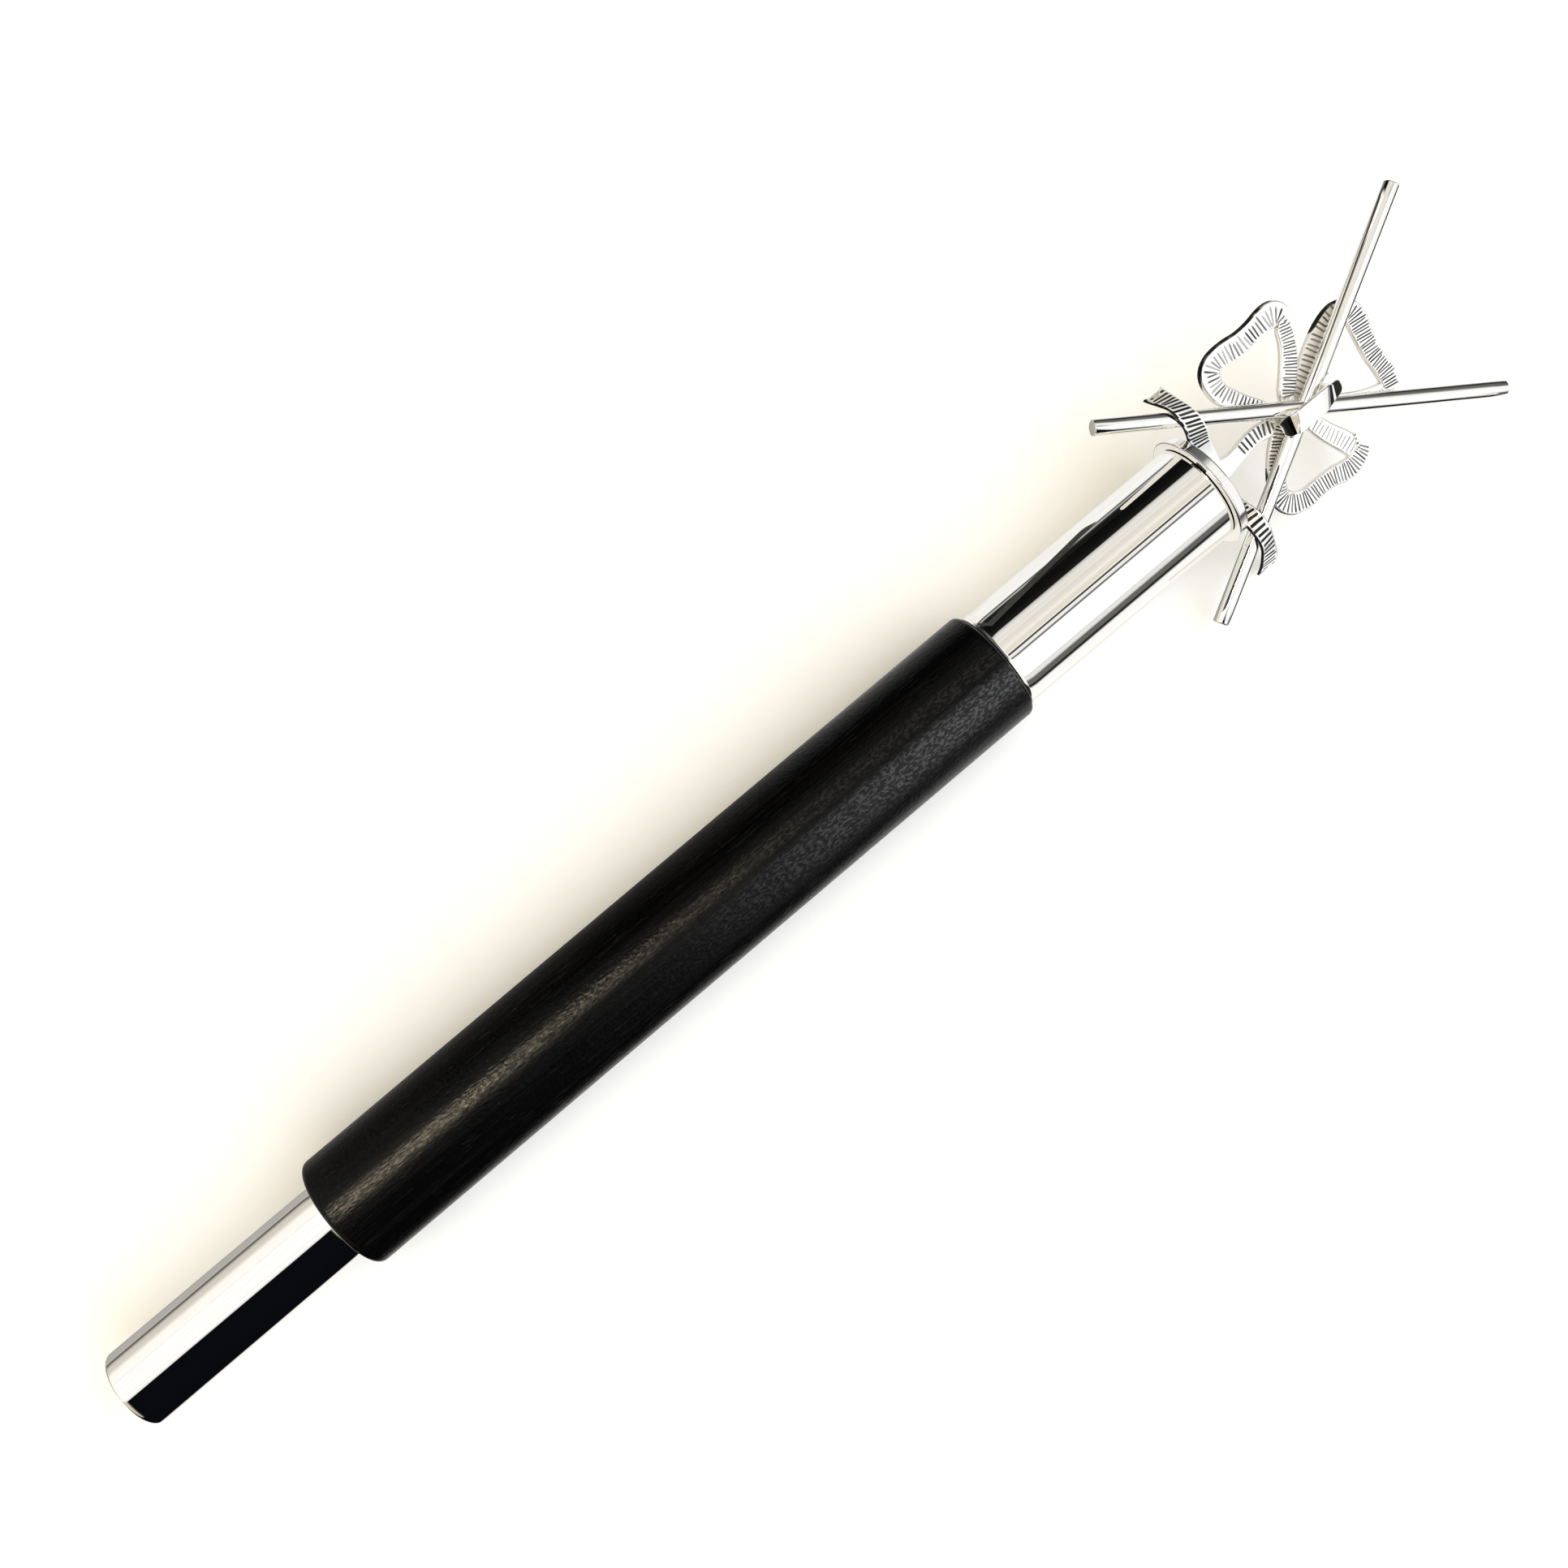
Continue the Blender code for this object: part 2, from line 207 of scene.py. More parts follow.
BUTT_EDGE = 0.0009
SEAT_FLARE = 0.00035
SEAT_LENGTH = 0.0009
butt_radius = 0.5 * (butt_high.z - butt_low.z)
butt_profile = quarter(butt_low.x + BUTT_EDGE, butt_radius - BUTT_EDGE, BUTT_EDGE, 2, 1)
butt_profile += [(butt_low.x + 0.001 * step, butt_radius) for step in range(2, 65, 3)]
butt_profile += [(butt_high.x - SEAT_LENGTH, butt_radius),
                 (butt_high.x - 0.5 * SEAT_LENGTH, butt_radius + 0.3 * SEAT_FLARE),
                 (butt_high.x, butt_radius + SEAT_FLARE)]
butt_tube = turn_on_axis("butt_tube_plated", butt_profile, 128, buffed_silver("butt_silver"))
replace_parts(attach(butt_tube, "root"), "butt_tube")

# ---------------------------------------------------------------------------------------
# Grip.  Straight-grained hardwood turned to a plain cylinder, stained black and lacquered.
# The lacquer has a fine pebble and has sunk into the long open pores of the wood.
# ---------------------------------------------------------------------------------------

EBONISED = (0.0006, 0.0006, 0.0008, 1.0)
EBONISED_WARM = (0.0022, 0.0017, 0.0012, 1.0)
GRIP_EDGE = 0.0018


def ebonised_wood():
    material, shader, make = new_finish("ebonised_lacquer", Specular_IOR_Level=0.12)
    place = make.node("ShaderNodeTexCoord", outlet=3)

    def drawn_noise(scale, detail):
        """Noise drawn out along the grain: cycles to the metre along it, and across it."""
        drawn = make.node("ShaderNodeMapping", (), {"Vector": place, "Scale": scale})
        return make.node("ShaderNodeTexNoise", (), {"Vector": drawn, "Scale": 1.0, "Detail": detail})

    grain = drawn_noise((28.0, 900.0, 900.0), 4.0)
    pore = drawn_noise((150.0, 2600.0, 2600.0), 1.0).smooth(0.66, 0.76)
    pebbles = drawn_noise((850.0, 1550.0, 1550.0), 3.0)
    drift = make.node("ShaderNodeTexNoise", (), {"Vector": place, "Scale": 60.0, "Detail": 3.0})
    colour = (grain.smooth(0.45, 0.7) * 0.7).mix(EBONISED, EBONISED_WARM)
    roughness = 0.21 + drift * 0.08 + pore * 0.25 + grain.smooth(0.4, 0.7) * 0.05
    height = pebbles * 1.0 - pore * 0.9 + grain * 0.35
    bump = make.node("ShaderNodeBump", (), {"Height": height, "Strength": 0.60, "Distance": 0.00018})
    feed(shader, Base_Color=colour, Roughness=roughness, Normal=bump)
    # Painted sheen: glossier lacquer on the window's side towards the head and in the lamp's streak, most
    # on high spots.
    glossy = make.node("ShaderNodeBsdfPrincipled", (), {"Base Color": colour, "Roughness": roughness,
                                                        "Normal": bump, "Specular IOR Level": 1.0})
    parts = [make.node("ShaderNodeSeparateXYZ", (), {"Vector": place}, axis) for axis in (0, 1, 2)]
    round_it = (axis_y - parts[1]).math("ARCTAN2", parts[2] - axis_z)
    high_spots = pebbles.smooth(0.45, 0.60)
    painted_sheen = round_it.smooth(0.02, 0.22) * (1 - round_it.smooth(0.42, 0.92)) * parts[0].smooth(-0.07, 0.04)
    painted_sheen = painted_sheen * (0.22 + high_spots * 0.78) + round_it.between(-0.24, 0.0, 0.05) * high_spots * 0.22
    both = make.node("ShaderNodeMixShader", (),
                     {0: painted_sheen, 1: Link(make.tree, shader.outputs[0]), 2: glossy})
    output = material.node_tree.nodes["Material Output"]
    make.tree.links.new(both.socket, output.inputs["Surface"])
    return material


grip_low, grip_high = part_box("wood_grip")
grip_radius = grip_high.z - axis_z
grip_start = grip_low.x + GRIP_EDGE
grip_length = grip_high.x - GRIP_EDGE - grip_start
grip_profile = quarter(grip_start, grip_radius - GRIP_EDGE, GRIP_EDGE, 2, 1, 10)
grip_profile += [(grip_start + grip_length * step / 40, grip_radius) for step in range(1, 40)]
grip_profile += quarter(grip_high.x - GRIP_EDGE, grip_radius - GRIP_EDGE, GRIP_EDGE, 1, 0, 10)
wood_grip = turn_on_axis("wood_grip_lacquered", grip_profile, 160, ebonised_wood(), 60.0)
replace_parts(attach(wood_grip, "root"), "wood_grip")

# ---------------------------------------------------------------------------------------
# Head tube.  The thicker silver-plated tube between the grip and the cap, buffed like the
# butt tube and flared a hair at its foot where it seats on the wood.
# ---------------------------------------------------------------------------------------

tube_low, tube_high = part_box("head_tube")
tube_radius = 0.5 * (tube_high.z - tube_low.z)
tube_profile = [(tube_low.x, tube_radius + SEAT_FLARE),
                (tube_low.x + 0.5 * SEAT_LENGTH, tube_radius + 0.3 * SEAT_FLARE),
                (tube_low.x + SEAT_LENGTH, tube_radius)]
tube_profile += [(tube_low.x + 0.001 * step, tube_radius) for step in range(3, 69, 3)]
tube_profile += [(tube_high.x, tube_radius)]
head_tube = turn_on_axis("head_tube_plated", tube_profile, 128, buffed_silver("head_tube_silver"))
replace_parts(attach(head_tube, "root"), "head_tube")

# ---------------------------------------------------------------------------------------
# Head cap.  A spun and plated cap soldered over the tube: a thin lip, then a low round
# boss with an eased edge that the emblem stands on.
# ---------------------------------------------------------------------------------------

CAP_LIP = 0.0008
CAP_EDGE = 0.0003
BOSS_RADIUS = 0.0158
cap_low, cap_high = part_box("head_cap")
lip_radius = cap_high.z - axis_z
lip_top = cap_low.x + CAP_LIP
half_lip = 0.5 * CAP_LIP
cap_profile = quarter(cap_low.x + half_lip, lip_radius - half_lip, half_lip, 2, 0, 10)
cap_profile += quarter(lip_top + CAP_EDGE, BOSS_RADIUS + CAP_EDGE, CAP_EDGE, 3, 2, 4)
cap_profile += quarter(cap_high.x - 2 * CAP_EDGE, BOSS_RADIUS - 2 * CAP_EDGE, 2 * CAP_EDGE, 1, 0)
head_cap = turn_on_axis("head_cap_plated", cap_profile, 128, buffed_silver("cap_silver"), 50.0)
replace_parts(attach(head_cap, "root"), "head_cap")

# ---------------------------------------------------------------------------------------
# Wands.  Two plain rods of plated brass crossed in front of the bow, with square ends.
# The emblem lies rolled on the staff's axis and leans a little towards its front.
# ---------------------------------------------------------------------------------------

EMBLEM_ROLL = math.radians(19.6)
EMBLEM_LEAN = math.radians(1.8)
CROSSING = 0.0325
WAND_FRONT = 0.0023
WAND_RADIUS = 0.0022
WAND_LENGTH = 0.1199
WAND_ANGLE = math.radians(32.9)
WAND_EDGE = 0.0004

emblem = (Matrix.Translation((cap_high.x, axis_y, axis_z))
          @ Matrix.Rotation(EMBLEM_ROLL, 4, "X") @ Matrix.Rotation(-EMBLEM_LEAN, 4, "Y")
          @ Matrix.Translation((CROSSING, 0.0, 0.0)))


def rod(name, side, finish):
    """A rod through the crossing, its tip leaning to the emblem's left where side is 1."""
    half = 0.5 * WAND_LENGTH
    shaft = WAND_RADIUS - WAND_EDGE
    profile = quarter(-half + WAND_EDGE, shaft, WAND_EDGE, 2, 1, 4)
    profile += [(half * step / 12, WAND_RADIUS) for step in range(-11, 12)]
    profile += quarter(half - WAND_EDGE, shaft, WAND_EDGE, 1, 0, 4)
    bm = turned(profile, 64)
    place = (emblem @ Matrix.Translation((0.0, 0.0, WAND_FRONT))
             @ Matrix.Rotation(side * WAND_ANGLE, 4, "Z"))
    bmesh.ops.transform(bm, matrix=place, verts=bm.verts)
    return add_piece(name, bm, finish, 50.0)


for name, side in (("wand_left", 1), ("wand_right", -1)):
    lie = (0.0, 0.0, -side * WAND_ANGLE)
    wand = rod(name + "_plated", side, buffed_silver(name + "_silver", lie))
    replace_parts(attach(wand, "root"), name)

# ---------------------------------------------------------------------------------------
# Ribbon bow.  One casting in plated brass: three loops and a stem of flat ribbon, and two
# swallow tails bent over the wands.  The front is bright-cut with a graver, one short
# stroke across the ribbon after another, with a plain rim left along both edges.
# ---------------------------------------------------------------------------------------

MM = 0.001
RIBBON_THICKNESS = 0.0019
TAIL_THICKNESS = 0.0009
RIBBON_FRONT = WAND_FRONT - WAND_RADIUS - 0.0003
FOLD_STEP = 0.00022


def smooth_line(points, spacing=0.35):
    """A Catmull-Rom curve through rows of numbers, with a row about every spacing mm."""
    rows = [Vector(point) for point in points]
    rows = [rows[0] * 2 - rows[1], *rows, rows[-1] * 2 - rows[-2]]
    line = []
    for a, b, c, d in zip(rows, rows[1:], rows[2:], rows[3:]):
        steps = max(2, round((c.to_3d() - b.to_3d()).length / spacing))
        for step in range(steps):
            t = step / steps
            line.append(0.5 * (2 * b + (c - a) * t + (2 * a - 5 * b + 4 * c - d) * t ** 2
                               + (3 * b - a - 3 * c + d) * t ** 3))
    return line + [rows[-2]]


def guide(name, rows):
    """A line of points for a ribbon: (centre, direction to its side, front, half width)."""
    mesh = bpy.data.meshes.new(name)
    mesh.from_pydata([row[0] for row in rows], [(i, i + 1) for i in range(len(rows) - 1)], [])
    for label, index in (("side", 1), ("front", 2)):
        values = mesh.attributes.new(label, "FLOAT_VECTOR", "POINT")
        values.data.foreach_set("vector", [number for row in rows for number in row[index]])
    widths = mesh.attributes.new("half_width", "FLOAT", "POINT")
    widths.data.foreach_set("value", [row[3] for row in rows])
    line = bpy.data.objects.new(name, mesh)
    bpy.context.scene.collection.objects.link(line)
    return line


def flat_guide(name, points, front):
    """The guide of a ribbon that lies in the plane of the bow: (along, across, width) in mm."""
    line = smooth_line(points)
    turn = emblem.to_3x3()
    rows = []
    for i, (along, across, width) in enumerate(line):
        ahead = line[min(i + 1, len(line) - 1)] - line[max(i - 1, 0)]
        side = Vector((-ahead.y, ahead.x, 0.0)).normalized()
        centre = Vector((along * MM, across * MM, front - 0.5 * RIBBON_THICKNESS))
        rows.append((emblem @ centre, turn @ side, turn @ Vector((0.0, 0.0, 1.0)), 0.5 * width * MM))
    return guide(name, rows)


def tail_guide(name, points, side):
    """The guide of a tail: (across, front, lower edge, upper edge, lean) in mm, as in the frame."""
    line = smooth_line(points)
    turn = emblem.to_3x3()
    rows = []
    for i, (across, front, low, high, lean) in enumerate(line):
        ahead = line[min(i + 1, len(line) - 1)] - line[max(i - 1, 0)]
        lower = Vector((low, side * (across + 0.5 * lean), front)) * MM
        upper = Vector((high, side * (across - 0.5 * lean), front)) * MM
        outward = Vector((0.0, -side * ahead[1], ahead[0])).normalized()
        edge = upper - lower
        rows.append((emblem @ (0.5 * (lower + upper)), turn @ edge.normalized(), turn @ outward,
                     0.5 * edge.length))
    return guide(name, rows)


def ribbon_section():
    """The section of a ribbon: a closed line with its place across (-1 to 1) and its level."""
    corner = [(math.cos(math.radians(a)), math.sin(math.radians(a))) for a in (0, 30, 60, 90)]
    ease_across = 0.24
    ease_level = 0.80
    points = [(1 - ease_across + ease_across * c, 1 - ease_level + ease_level * s) for c, s in corner]
    cross_steps = 24
    span = 1 - ease_across
    points += [(span - 2 * span * i / cross_steps, 1.0) for i in range(1, cross_steps)]
    points += [(-x, y) for x, y in points[3::-1]]
    points += [(-x, -y) for x, y in points[:4]]
    points += [(0.0, -1.0)]
    points += [(x, -y) for x, y in points[3::-1]]
    mesh = bpy.data.meshes.new("ribbon_section")
    count = len(points)
    mesh.from_pydata([(x, y, 0.0) for x, y in points], [(i, (i + 1) % count) for i in range(count)], [])
    for label, index in (("across", 0), ("level", 1)):
        values = mesh.attributes.new(label, "FLOAT", "POINT")
        values.data.foreach_set("value", [point[index] for point in points])
    section = bpy.data.objects.new("ribbon_section", mesh)
    bpy.context.scene.collection.objects.link(section)
    return section


def engraved_ribbon_tree():
    """Sweeps the section along a guide and sinks a graver's strokes across its front."""
    tree = bpy.data.node_groups.new("engraved_ribbon", "GeometryNodeTree")
    sockets = {}
    for label, kind, default in (
            ("Guide", "Geometry", None), ("Section", "Object", None), ("Finish", "Material", None),
            ("Thickness", "Float", 0.002), ("Stroke Spacing", "Float", 0.0012),
            ("Stroke Width", "Float", 0.00046), ("Stroke Depth", "Float", 0.00006),
            ("Left Reach", "Float", 0.84), ("Right Reach", "Float", 0.84),
            ("Left Ragged", "Float", 0.2), ("Right Ragged", "Float", 0.2),
            ("Left Fade", "Float", 0.16), ("Right Fade", "Float", 0.16),
            ("Weakest", "Float", 0.55), ("Lean", "Float", 0.0), ("First Stroke", "Float", 0.0),
            ("Last Stroke", "Float", 1.0), ("Tarnish", "Float", 1.0), ("Left Rim", "Float", 0.0),
            ("Right Rim", "Float", 0.0), ("Rim From", "Float", 0.0), ("Rim To", "Float", 1.0),
            ("Frost", "Float", 0.3), ("Fork", "Float", 0.0), ("Seed", "Int", 1)):
        socket = tree.interface.new_socket(label, in_out="INPUT", socket_type="NodeSocket" + kind)
        if default is not None:
            socket.default_value = default
        sockets[label] = socket.identifier
    tree.interface.new_socket("Ribbon", in_out="OUTPUT", socket_type="NodeSocketGeometry")
    enter = tree.nodes.new("NodeGroupInput")
    leave = tree.nodes.new("NodeGroupOutput")
    make = Link(tree)

    def given(label):
        return Link(tree, enter.outputs[label])

    def named(label, kind="FLOAT"):
        return make.node("GeometryNodeInputNamedAttribute", {"data_type": kind}, {"Name": label})

    def store(geometry, label, value, kind="FLOAT"):
        return make.node("GeometryNodeStoreNamedAttribute", {"data_type": kind},
                         {"Geometry": geometry, "Name": label, "Value": value})

    def chance(label, low, high, identity):
        return make.node("FunctionNodeRandomValue", {"data_type": "FLOAT"},
                         {2: low, 3: high, "ID": identity, "Seed": given("Seed") * 10 + label}, 1)

    line = make.node("GeometryNodeMeshToCurve", (), {"Mesh": given("Guide")})
    length = make.node("GeometryNodeCurveLength", (), {"Curve": line})
    strokes = (length / given("Stroke Spacing")).math("ROUND")
    rows = make.node("GeometryNodeResampleCurve", {"mode": "COUNT"},
                     {"Curve": line, "Count": strokes * 4 + 1})
    # Four rows to a stroke: its near edge, its bottom, its far edge and the land behind it.
    row = make.node("GeometryNodeInputIndex")
    phase = row.math("MODULO", 4)
    stroke = (row / 4).math("FLOOR")
    near = phase.math("COMPARE", 0.0, 0.1)
    bottom = phase.math("COMPARE", 1.0, 0.1)
    far = phase.math("COMPARE", 2.0, 0.1)
    step = length / (strokes * 4)
    gather = (near - far) * (step - 0.5 * given("Stroke Width"))
    wander = (near + bottom + far) * chance(1, -0.45, 0.45, stroke) * step
    factor = make.node("GeometryNodeSplineParameter")
    cut_here = (factor.math("GREATER_THAN", given("First Stroke"))
                * factor.math("LESS_THAN", given("Last Stroke")))
    strength = chance(2, given("Weakest"), 1.0, stroke)
    to_end = (1 - factor) * length
    rows = store(rows, "slide", gather + wander)
    rows = store(rows, "slant", given("Lean") + chance(3, -0.09, 0.09, stroke) * cut_here)
    rows = store(rows, "sink", given("Stroke Depth") * cut_here * bottom)
    # How dark the strokes are painted: tarnish, and painted shade and dark reflection in the cuts.
    rows = store(rows, "tone", given("Tarnish") * strength)
    left_ragged = given("Left Ragged") * chance(4, 0.0, 1.0, stroke)
    right_ragged = given("Right Ragged") * chance(5, 0.0, 1.0, stroke)
    rows = store(rows, "left_reach", given("Left Reach") - left_ragged)
    rows = store(rows, "right_reach", given("Right Reach") - right_ragged)
    rows = store(rows, "to_end", to_end)
    rim_here = factor.between(given("Rim From"), given("Rim To"), 0.03)
    rows = store(rows, "rim", chance(6, 0.7, 1.15, stroke) * rim_here)
    tangent = make.node("GeometryNodeInputTangent")
    rows = store(rows, "forward", tangent, "FLOAT_VECTOR")
    rows = store(rows, "middle", make.node("GeometryNodeInputPosition"), "FLOAT_VECTOR")
    section = make.node("GeometryNodeObjectInfo", (), {"Object": given("Section")}, "Geometry")
    outline = make.node("GeometryNodeMeshToCurve", (), {"Mesh": section})
    swept = make.node("GeometryNodeCurveToMesh", (),
                      {"Curve": rows, "Profile Curve": outline, "Fill Caps": True})
    across = named("across")
    on_front = named("level").math("GREATER_THAN", 0.9)
    inside = (((named("left_reach") - across) / given("Left Fade")).smooth(0.0, 1.0)
              * ((across + named("right_reach")) / given("Right Fade")).smooth(0.0, 1.0))
    own_slide = named("slide") + named("slant") * across * named("half_width")
    # The fork: what would lie past the two slanting cuts is drawn back onto them.
    past = given("Fork") * (1 - across.math("ABSOLUTE")) - (named("to_end") - own_slide)
    forked = given("Fork").math("GREATER_THAN", 0.0)
    slide = own_slide - past.math("MAXIMUM", 0.0) * forked
    sunk = named("sink") * on_front * inside * (1 - past.smooth(-0.0004, 0.0))
    sideways = named("side", "FLOAT_VECTOR").scaled(across * named("half_width"))
    onwards = named("forward", "FLOAT_VECTOR").scaled(slide)
    outwards = named("front", "FLOAT_VECTOR").scaled(named("level") * 0.5 * given("Thickness") - sunk)
    place = named("middle", "FLOAT_VECTOR").shifted(sideways).shifted(onwards).shifted(outwards)
    shaped = make.node("GeometryNodeSetPosition", (), {"Geometry": swept, "Position": place})
    left_side = across.math("GREATER_THAN", 0.0)
    # Painted reflection: a dark line along the chosen edges stands in for their dark reflection.
    rim = (left_side * given("Left Rim") + (1 - left_side) * given("Right Rim")) * named("rim")
    from_edge = (1 - across.math("ABSOLUTE")) * named("half_width")
    painted_dark_rim = (1 - (from_edge - rim).smooth(-0.0001, 0.0001)) * rim.math("GREATER_THAN", 1e-6)
    graved = sunk / given("Stroke Depth")
    shaped = store(shaped, "stroke", graved.math("MAXIMUM", painted_dark_rim))
    shaped = store(shaped, "tone", named("tone").math("MAXIMUM", painted_dark_rim))
    wall = 1 - named("level").smooth(0.2, 0.95)
    shaped = store(shaped, "frost", wall.math("MAXIMUM", given("Frost")))
    for label in ("slide", "slant", "sink", "across", "left_reach", "right_reach", "to_end", "rim",
                  "forward", "middle", "side", "front", "half_width", "level"):
        shaped = make.node("GeometryNodeRemoveAttribute", (), {"Geometry": shaped, "Name": label})
    merged = make.node("GeometryNodeMergeByDistance", (), {"Geometry": shaped, "Distance": 2e-6})
    real = make.node("GeometryNodeRealizeInstances", (), {"Geometry": merged})
    finished = make.node("GeometryNodeSetMaterial", (), {"Geometry": real, "Material": given("Finish")})
    tree.links.new(finished.socket, leave.inputs["Ribbon"])
    return tree, sockets


def engraved_silver():
    """Silver plate on the casting: bright lands, and strokes that hold polish and tarnish and carry
    painted shade.
    """
    material, shader, make = new_finish("bow_silver", Specular_IOR_Level=0.1)
    place = make.node("ShaderNodeTexCoord", outlet=3)
    stroke = make.node("ShaderNodeAttribute", {"attribute_name": "stroke"}, outlet=2)
    clouds = make.node("ShaderNodeTexNoise", (), {"Vector": place, "Scale": 160.0, "Detail": 4.0})
    fine = make.node("ShaderNodeTexNoise", (), {"Vector": place, "Scale": 1400.0, "Detail": 2.0})
    frost = make.node("ShaderNodeAttribute", {"attribute_name": "frost"}, outlet=2)
    plain = (clouds.smooth(0.5, 0.8) * 0.6).mix(SILVER, SILVER_TONED)
    plain = (frost * 0.9).mix(plain, (0.78, 0.775, 0.76, 1.0))
    tone = make.node("ShaderNodeAttribute", {"attribute_name": "tone"}, outlet=2)
    # The strokes are painted near black: tarnish, with painted shade and dark reflection in the cuts.
    colour = (stroke.smooth(0.12, 0.45) * tone).mix(plain, (0.006, 0.006, 0.007, 1.0))
    roughness = 0.03 + clouds.smooth(0.45, 0.75) * 0.05 + stroke * 0.15 + frost * 0.36
    bump = make.node("ShaderNodeBump", (), {"Height": fine + clouds * 0.5, "Strength": 0.10,
                                            "Distance": 0.00006})
    metallic = (1 - frost * 0.75) * (1 - stroke * tone * frost)
    feed(shader, Base_Color=colour, Roughness=roughness, Metallic=metallic, Normal=bump)
    return material


bow_finish = engraved_silver()
section = ribbon_section()
ribbon_tree, ribbon_sockets = engraved_ribbon_tree()
LEFT_UPPER = (
    (-2.6, 1.2, 3.6), (-0.8, 5.2, 5.0), (0.6, 6.9, 5.3), (2.4, 9.2, 5.4), (4.1, 11.7, 5.3),
    (5.4, 14.0, 5.1), (6.5, 16.6, 4.9), (7.1, 18.8, 4.7), (7.4, 20.2, 3.8), (7.6, 21.2, 2.0),
    (7.7, 21.6, 0.6),
)
LEFT_OUTER = (
    (8.6, 19.6, 3.6), (8.7, 20.9, 4.8), (8.5, 23.0, 6.3), (7.3, 24.3, 7.0), (5.1, 24.9, 7.0),
    (0.8, 24.7, 5.9), (-1.7, 24.4, 5.9), (-4.9, 24.1, 6.5), (-8.2, 24.4, 6.7), (-10.9, 24.7, 6.2),
    (-13.5, 24.4, 5.9), (-15.6, 23.0, 5.9), (-16.4, 20.6, 5.9), (-16.2, 17.5, 5.7),
    (-15.2, 14.9, 5.6), (-12.8, 11.0, 5.5), (-8.6, 5.5, 4.8), (-6.2, 0.8, 3.6),
)
RIGHT_UPPER = (
    (-0.8, -0.8, 3.6), (1.3, -6.0, 4.8), (3.4, -10.9, 5.4), (5.7, -15.0, 5.9), (6.8, -17.4, 5.8),
    (7.6, -19.6, 5.4),
)
RIGHT_OUTER = (
    (10.0, -20.3, 3.6), (8.9, -21.2, 4.6), (7.2, -22.0, 5.2), (4.3, -22.8, 5.6), (1.7, -22.6, 5.9),
    (-0.6, -22.0, 5.5), (-2.8, -21.6, 5.3), (-5.4, -21.5, 5.3), (-8.0, -21.6, 5.5),
    (-10.4, -21.7, 5.6), (-12.7, -21.2, 5.9), (-14.7, -20.3, 6.4), (-16.3, -18.5, 6.2),
    (-16.7, -16.2, 5.5), (-15.4, -12.4, 5.5), (-12.2, -7.2, 5.4), (-8.8, -3.0, 4.6), (-6.4, -0.8, 3.6),
)
UPPER_LEFT = (
    (-1.0, 1.9, 3.2), (2.2, 3.4, 4.8), (5.6, 5.2, 6.0), (9.6, 7.9, 6.6), (13.2, 10.3, 6.6),
    (17.2, 12.4, 6.5), (21.2, 13.5, 6.4), (24.2, 13.2, 5.4), (26.2, 11.6, 4.0),
)
UPPER_TOP = (
    (23.4, 13.6, 3.0), (25.4, 11.8, 5.6), (25.9, 9.7, 6.5), (25.7, 7.4, 6.4), (25.4, 4.4, 6.2),
    (25.1, 1.1, 5.9), (25.0, -2.1, 5.6), (25.4, -4.9, 5.8), (25.6, -7.4, 5.9), (25.4, -10.2, 5.4),
    (25.0, -12.6, 4.4),
)
UPPER_RIGHT = (
    (25.4, -10.6, 4.6), (22.0, -12.0, 5.4), (16.6, -9.8, 4.6), (11.0, -6.6, 4.4), (5.0, -3.0, 4.2),
    (-1.0, -1.9, 3.2),
)
STEM = (
    (-32.2, 0.4, 7.0), (-28.0, 0.1, 6.6), (-24.6, -0.1, 5.6), (-21.5, 0.2, 4.8), (-18.0, 0.8, 4.8),
    (-15.0, 1.3, 4.8), (-12.8, 1.3, 4.9), (-10.6, 0.8, 5.0), (-8.4, 0.2, 5.6), (-4.5, 0.0, 8.6),
    (-1.0, -0.1, 8.0), (2.5, -0.2, 5.6), (11.8, -0.2, 5.2),
)
LEFT_TAIL = (
    (0.5, -1.2, -31.4, -25.3, 0.0), (4.0, -0.7, -31.4, -25.3, 0.0), (8.0, 0.4, -31.4, -25.4, 0.4),
    (11.4, 2.2, -31.5, -25.6, 1.6), (14.6, 4.4, -31.5, -25.8, 2.6), (17.6, 5.3, -31.5, -25.9, 3.0),
    (20.3, 5.1, -31.6, -25.9, 3.2), (22.4, 3.6, -31.8, -26.1, 3.0), (24.1, 1.1, -32.2, -26.4, 2.2),
    (25.8, -1.8, -32.7, -26.7, 1.0), (27.6, -4.5, -33.2, -27.0, 0.0),
)
RIGHT_TAIL = (
    (0.5, -1.2, -31.6, -27.6, 0.0), (4.5, -0.6, -31.6, -27.6, 0.0), (8.5, 0.5, -31.4, -26.8, 0.4),
    (11.8, 2.8, -31.2, -26.2, 1.4), (14.3, 4.6, -31.1, -25.9, 2.2), (17.0, 5.3, -31.0, -25.8, 2.8),
    (19.8, 5.2, -31.0, -25.8, 2.8), (22.6, 4.0, -31.1, -25.8, 2.2), (25.2, 2.2, -31.4, -25.7, 1.4),
    (27.6, 0.2, -31.8, -25.6, 0.8), (29.9, -2.2, -32.2, -25.6, 0.4), (32.0, -4.8, -32.6, -25.6, 0.0),
)
CREASE = ((9.3, -16.0, 0.9), (9.0, -17.6, 0.7), (8.6, -19.2, 0.8), (8.1, -20.6, 1.0))
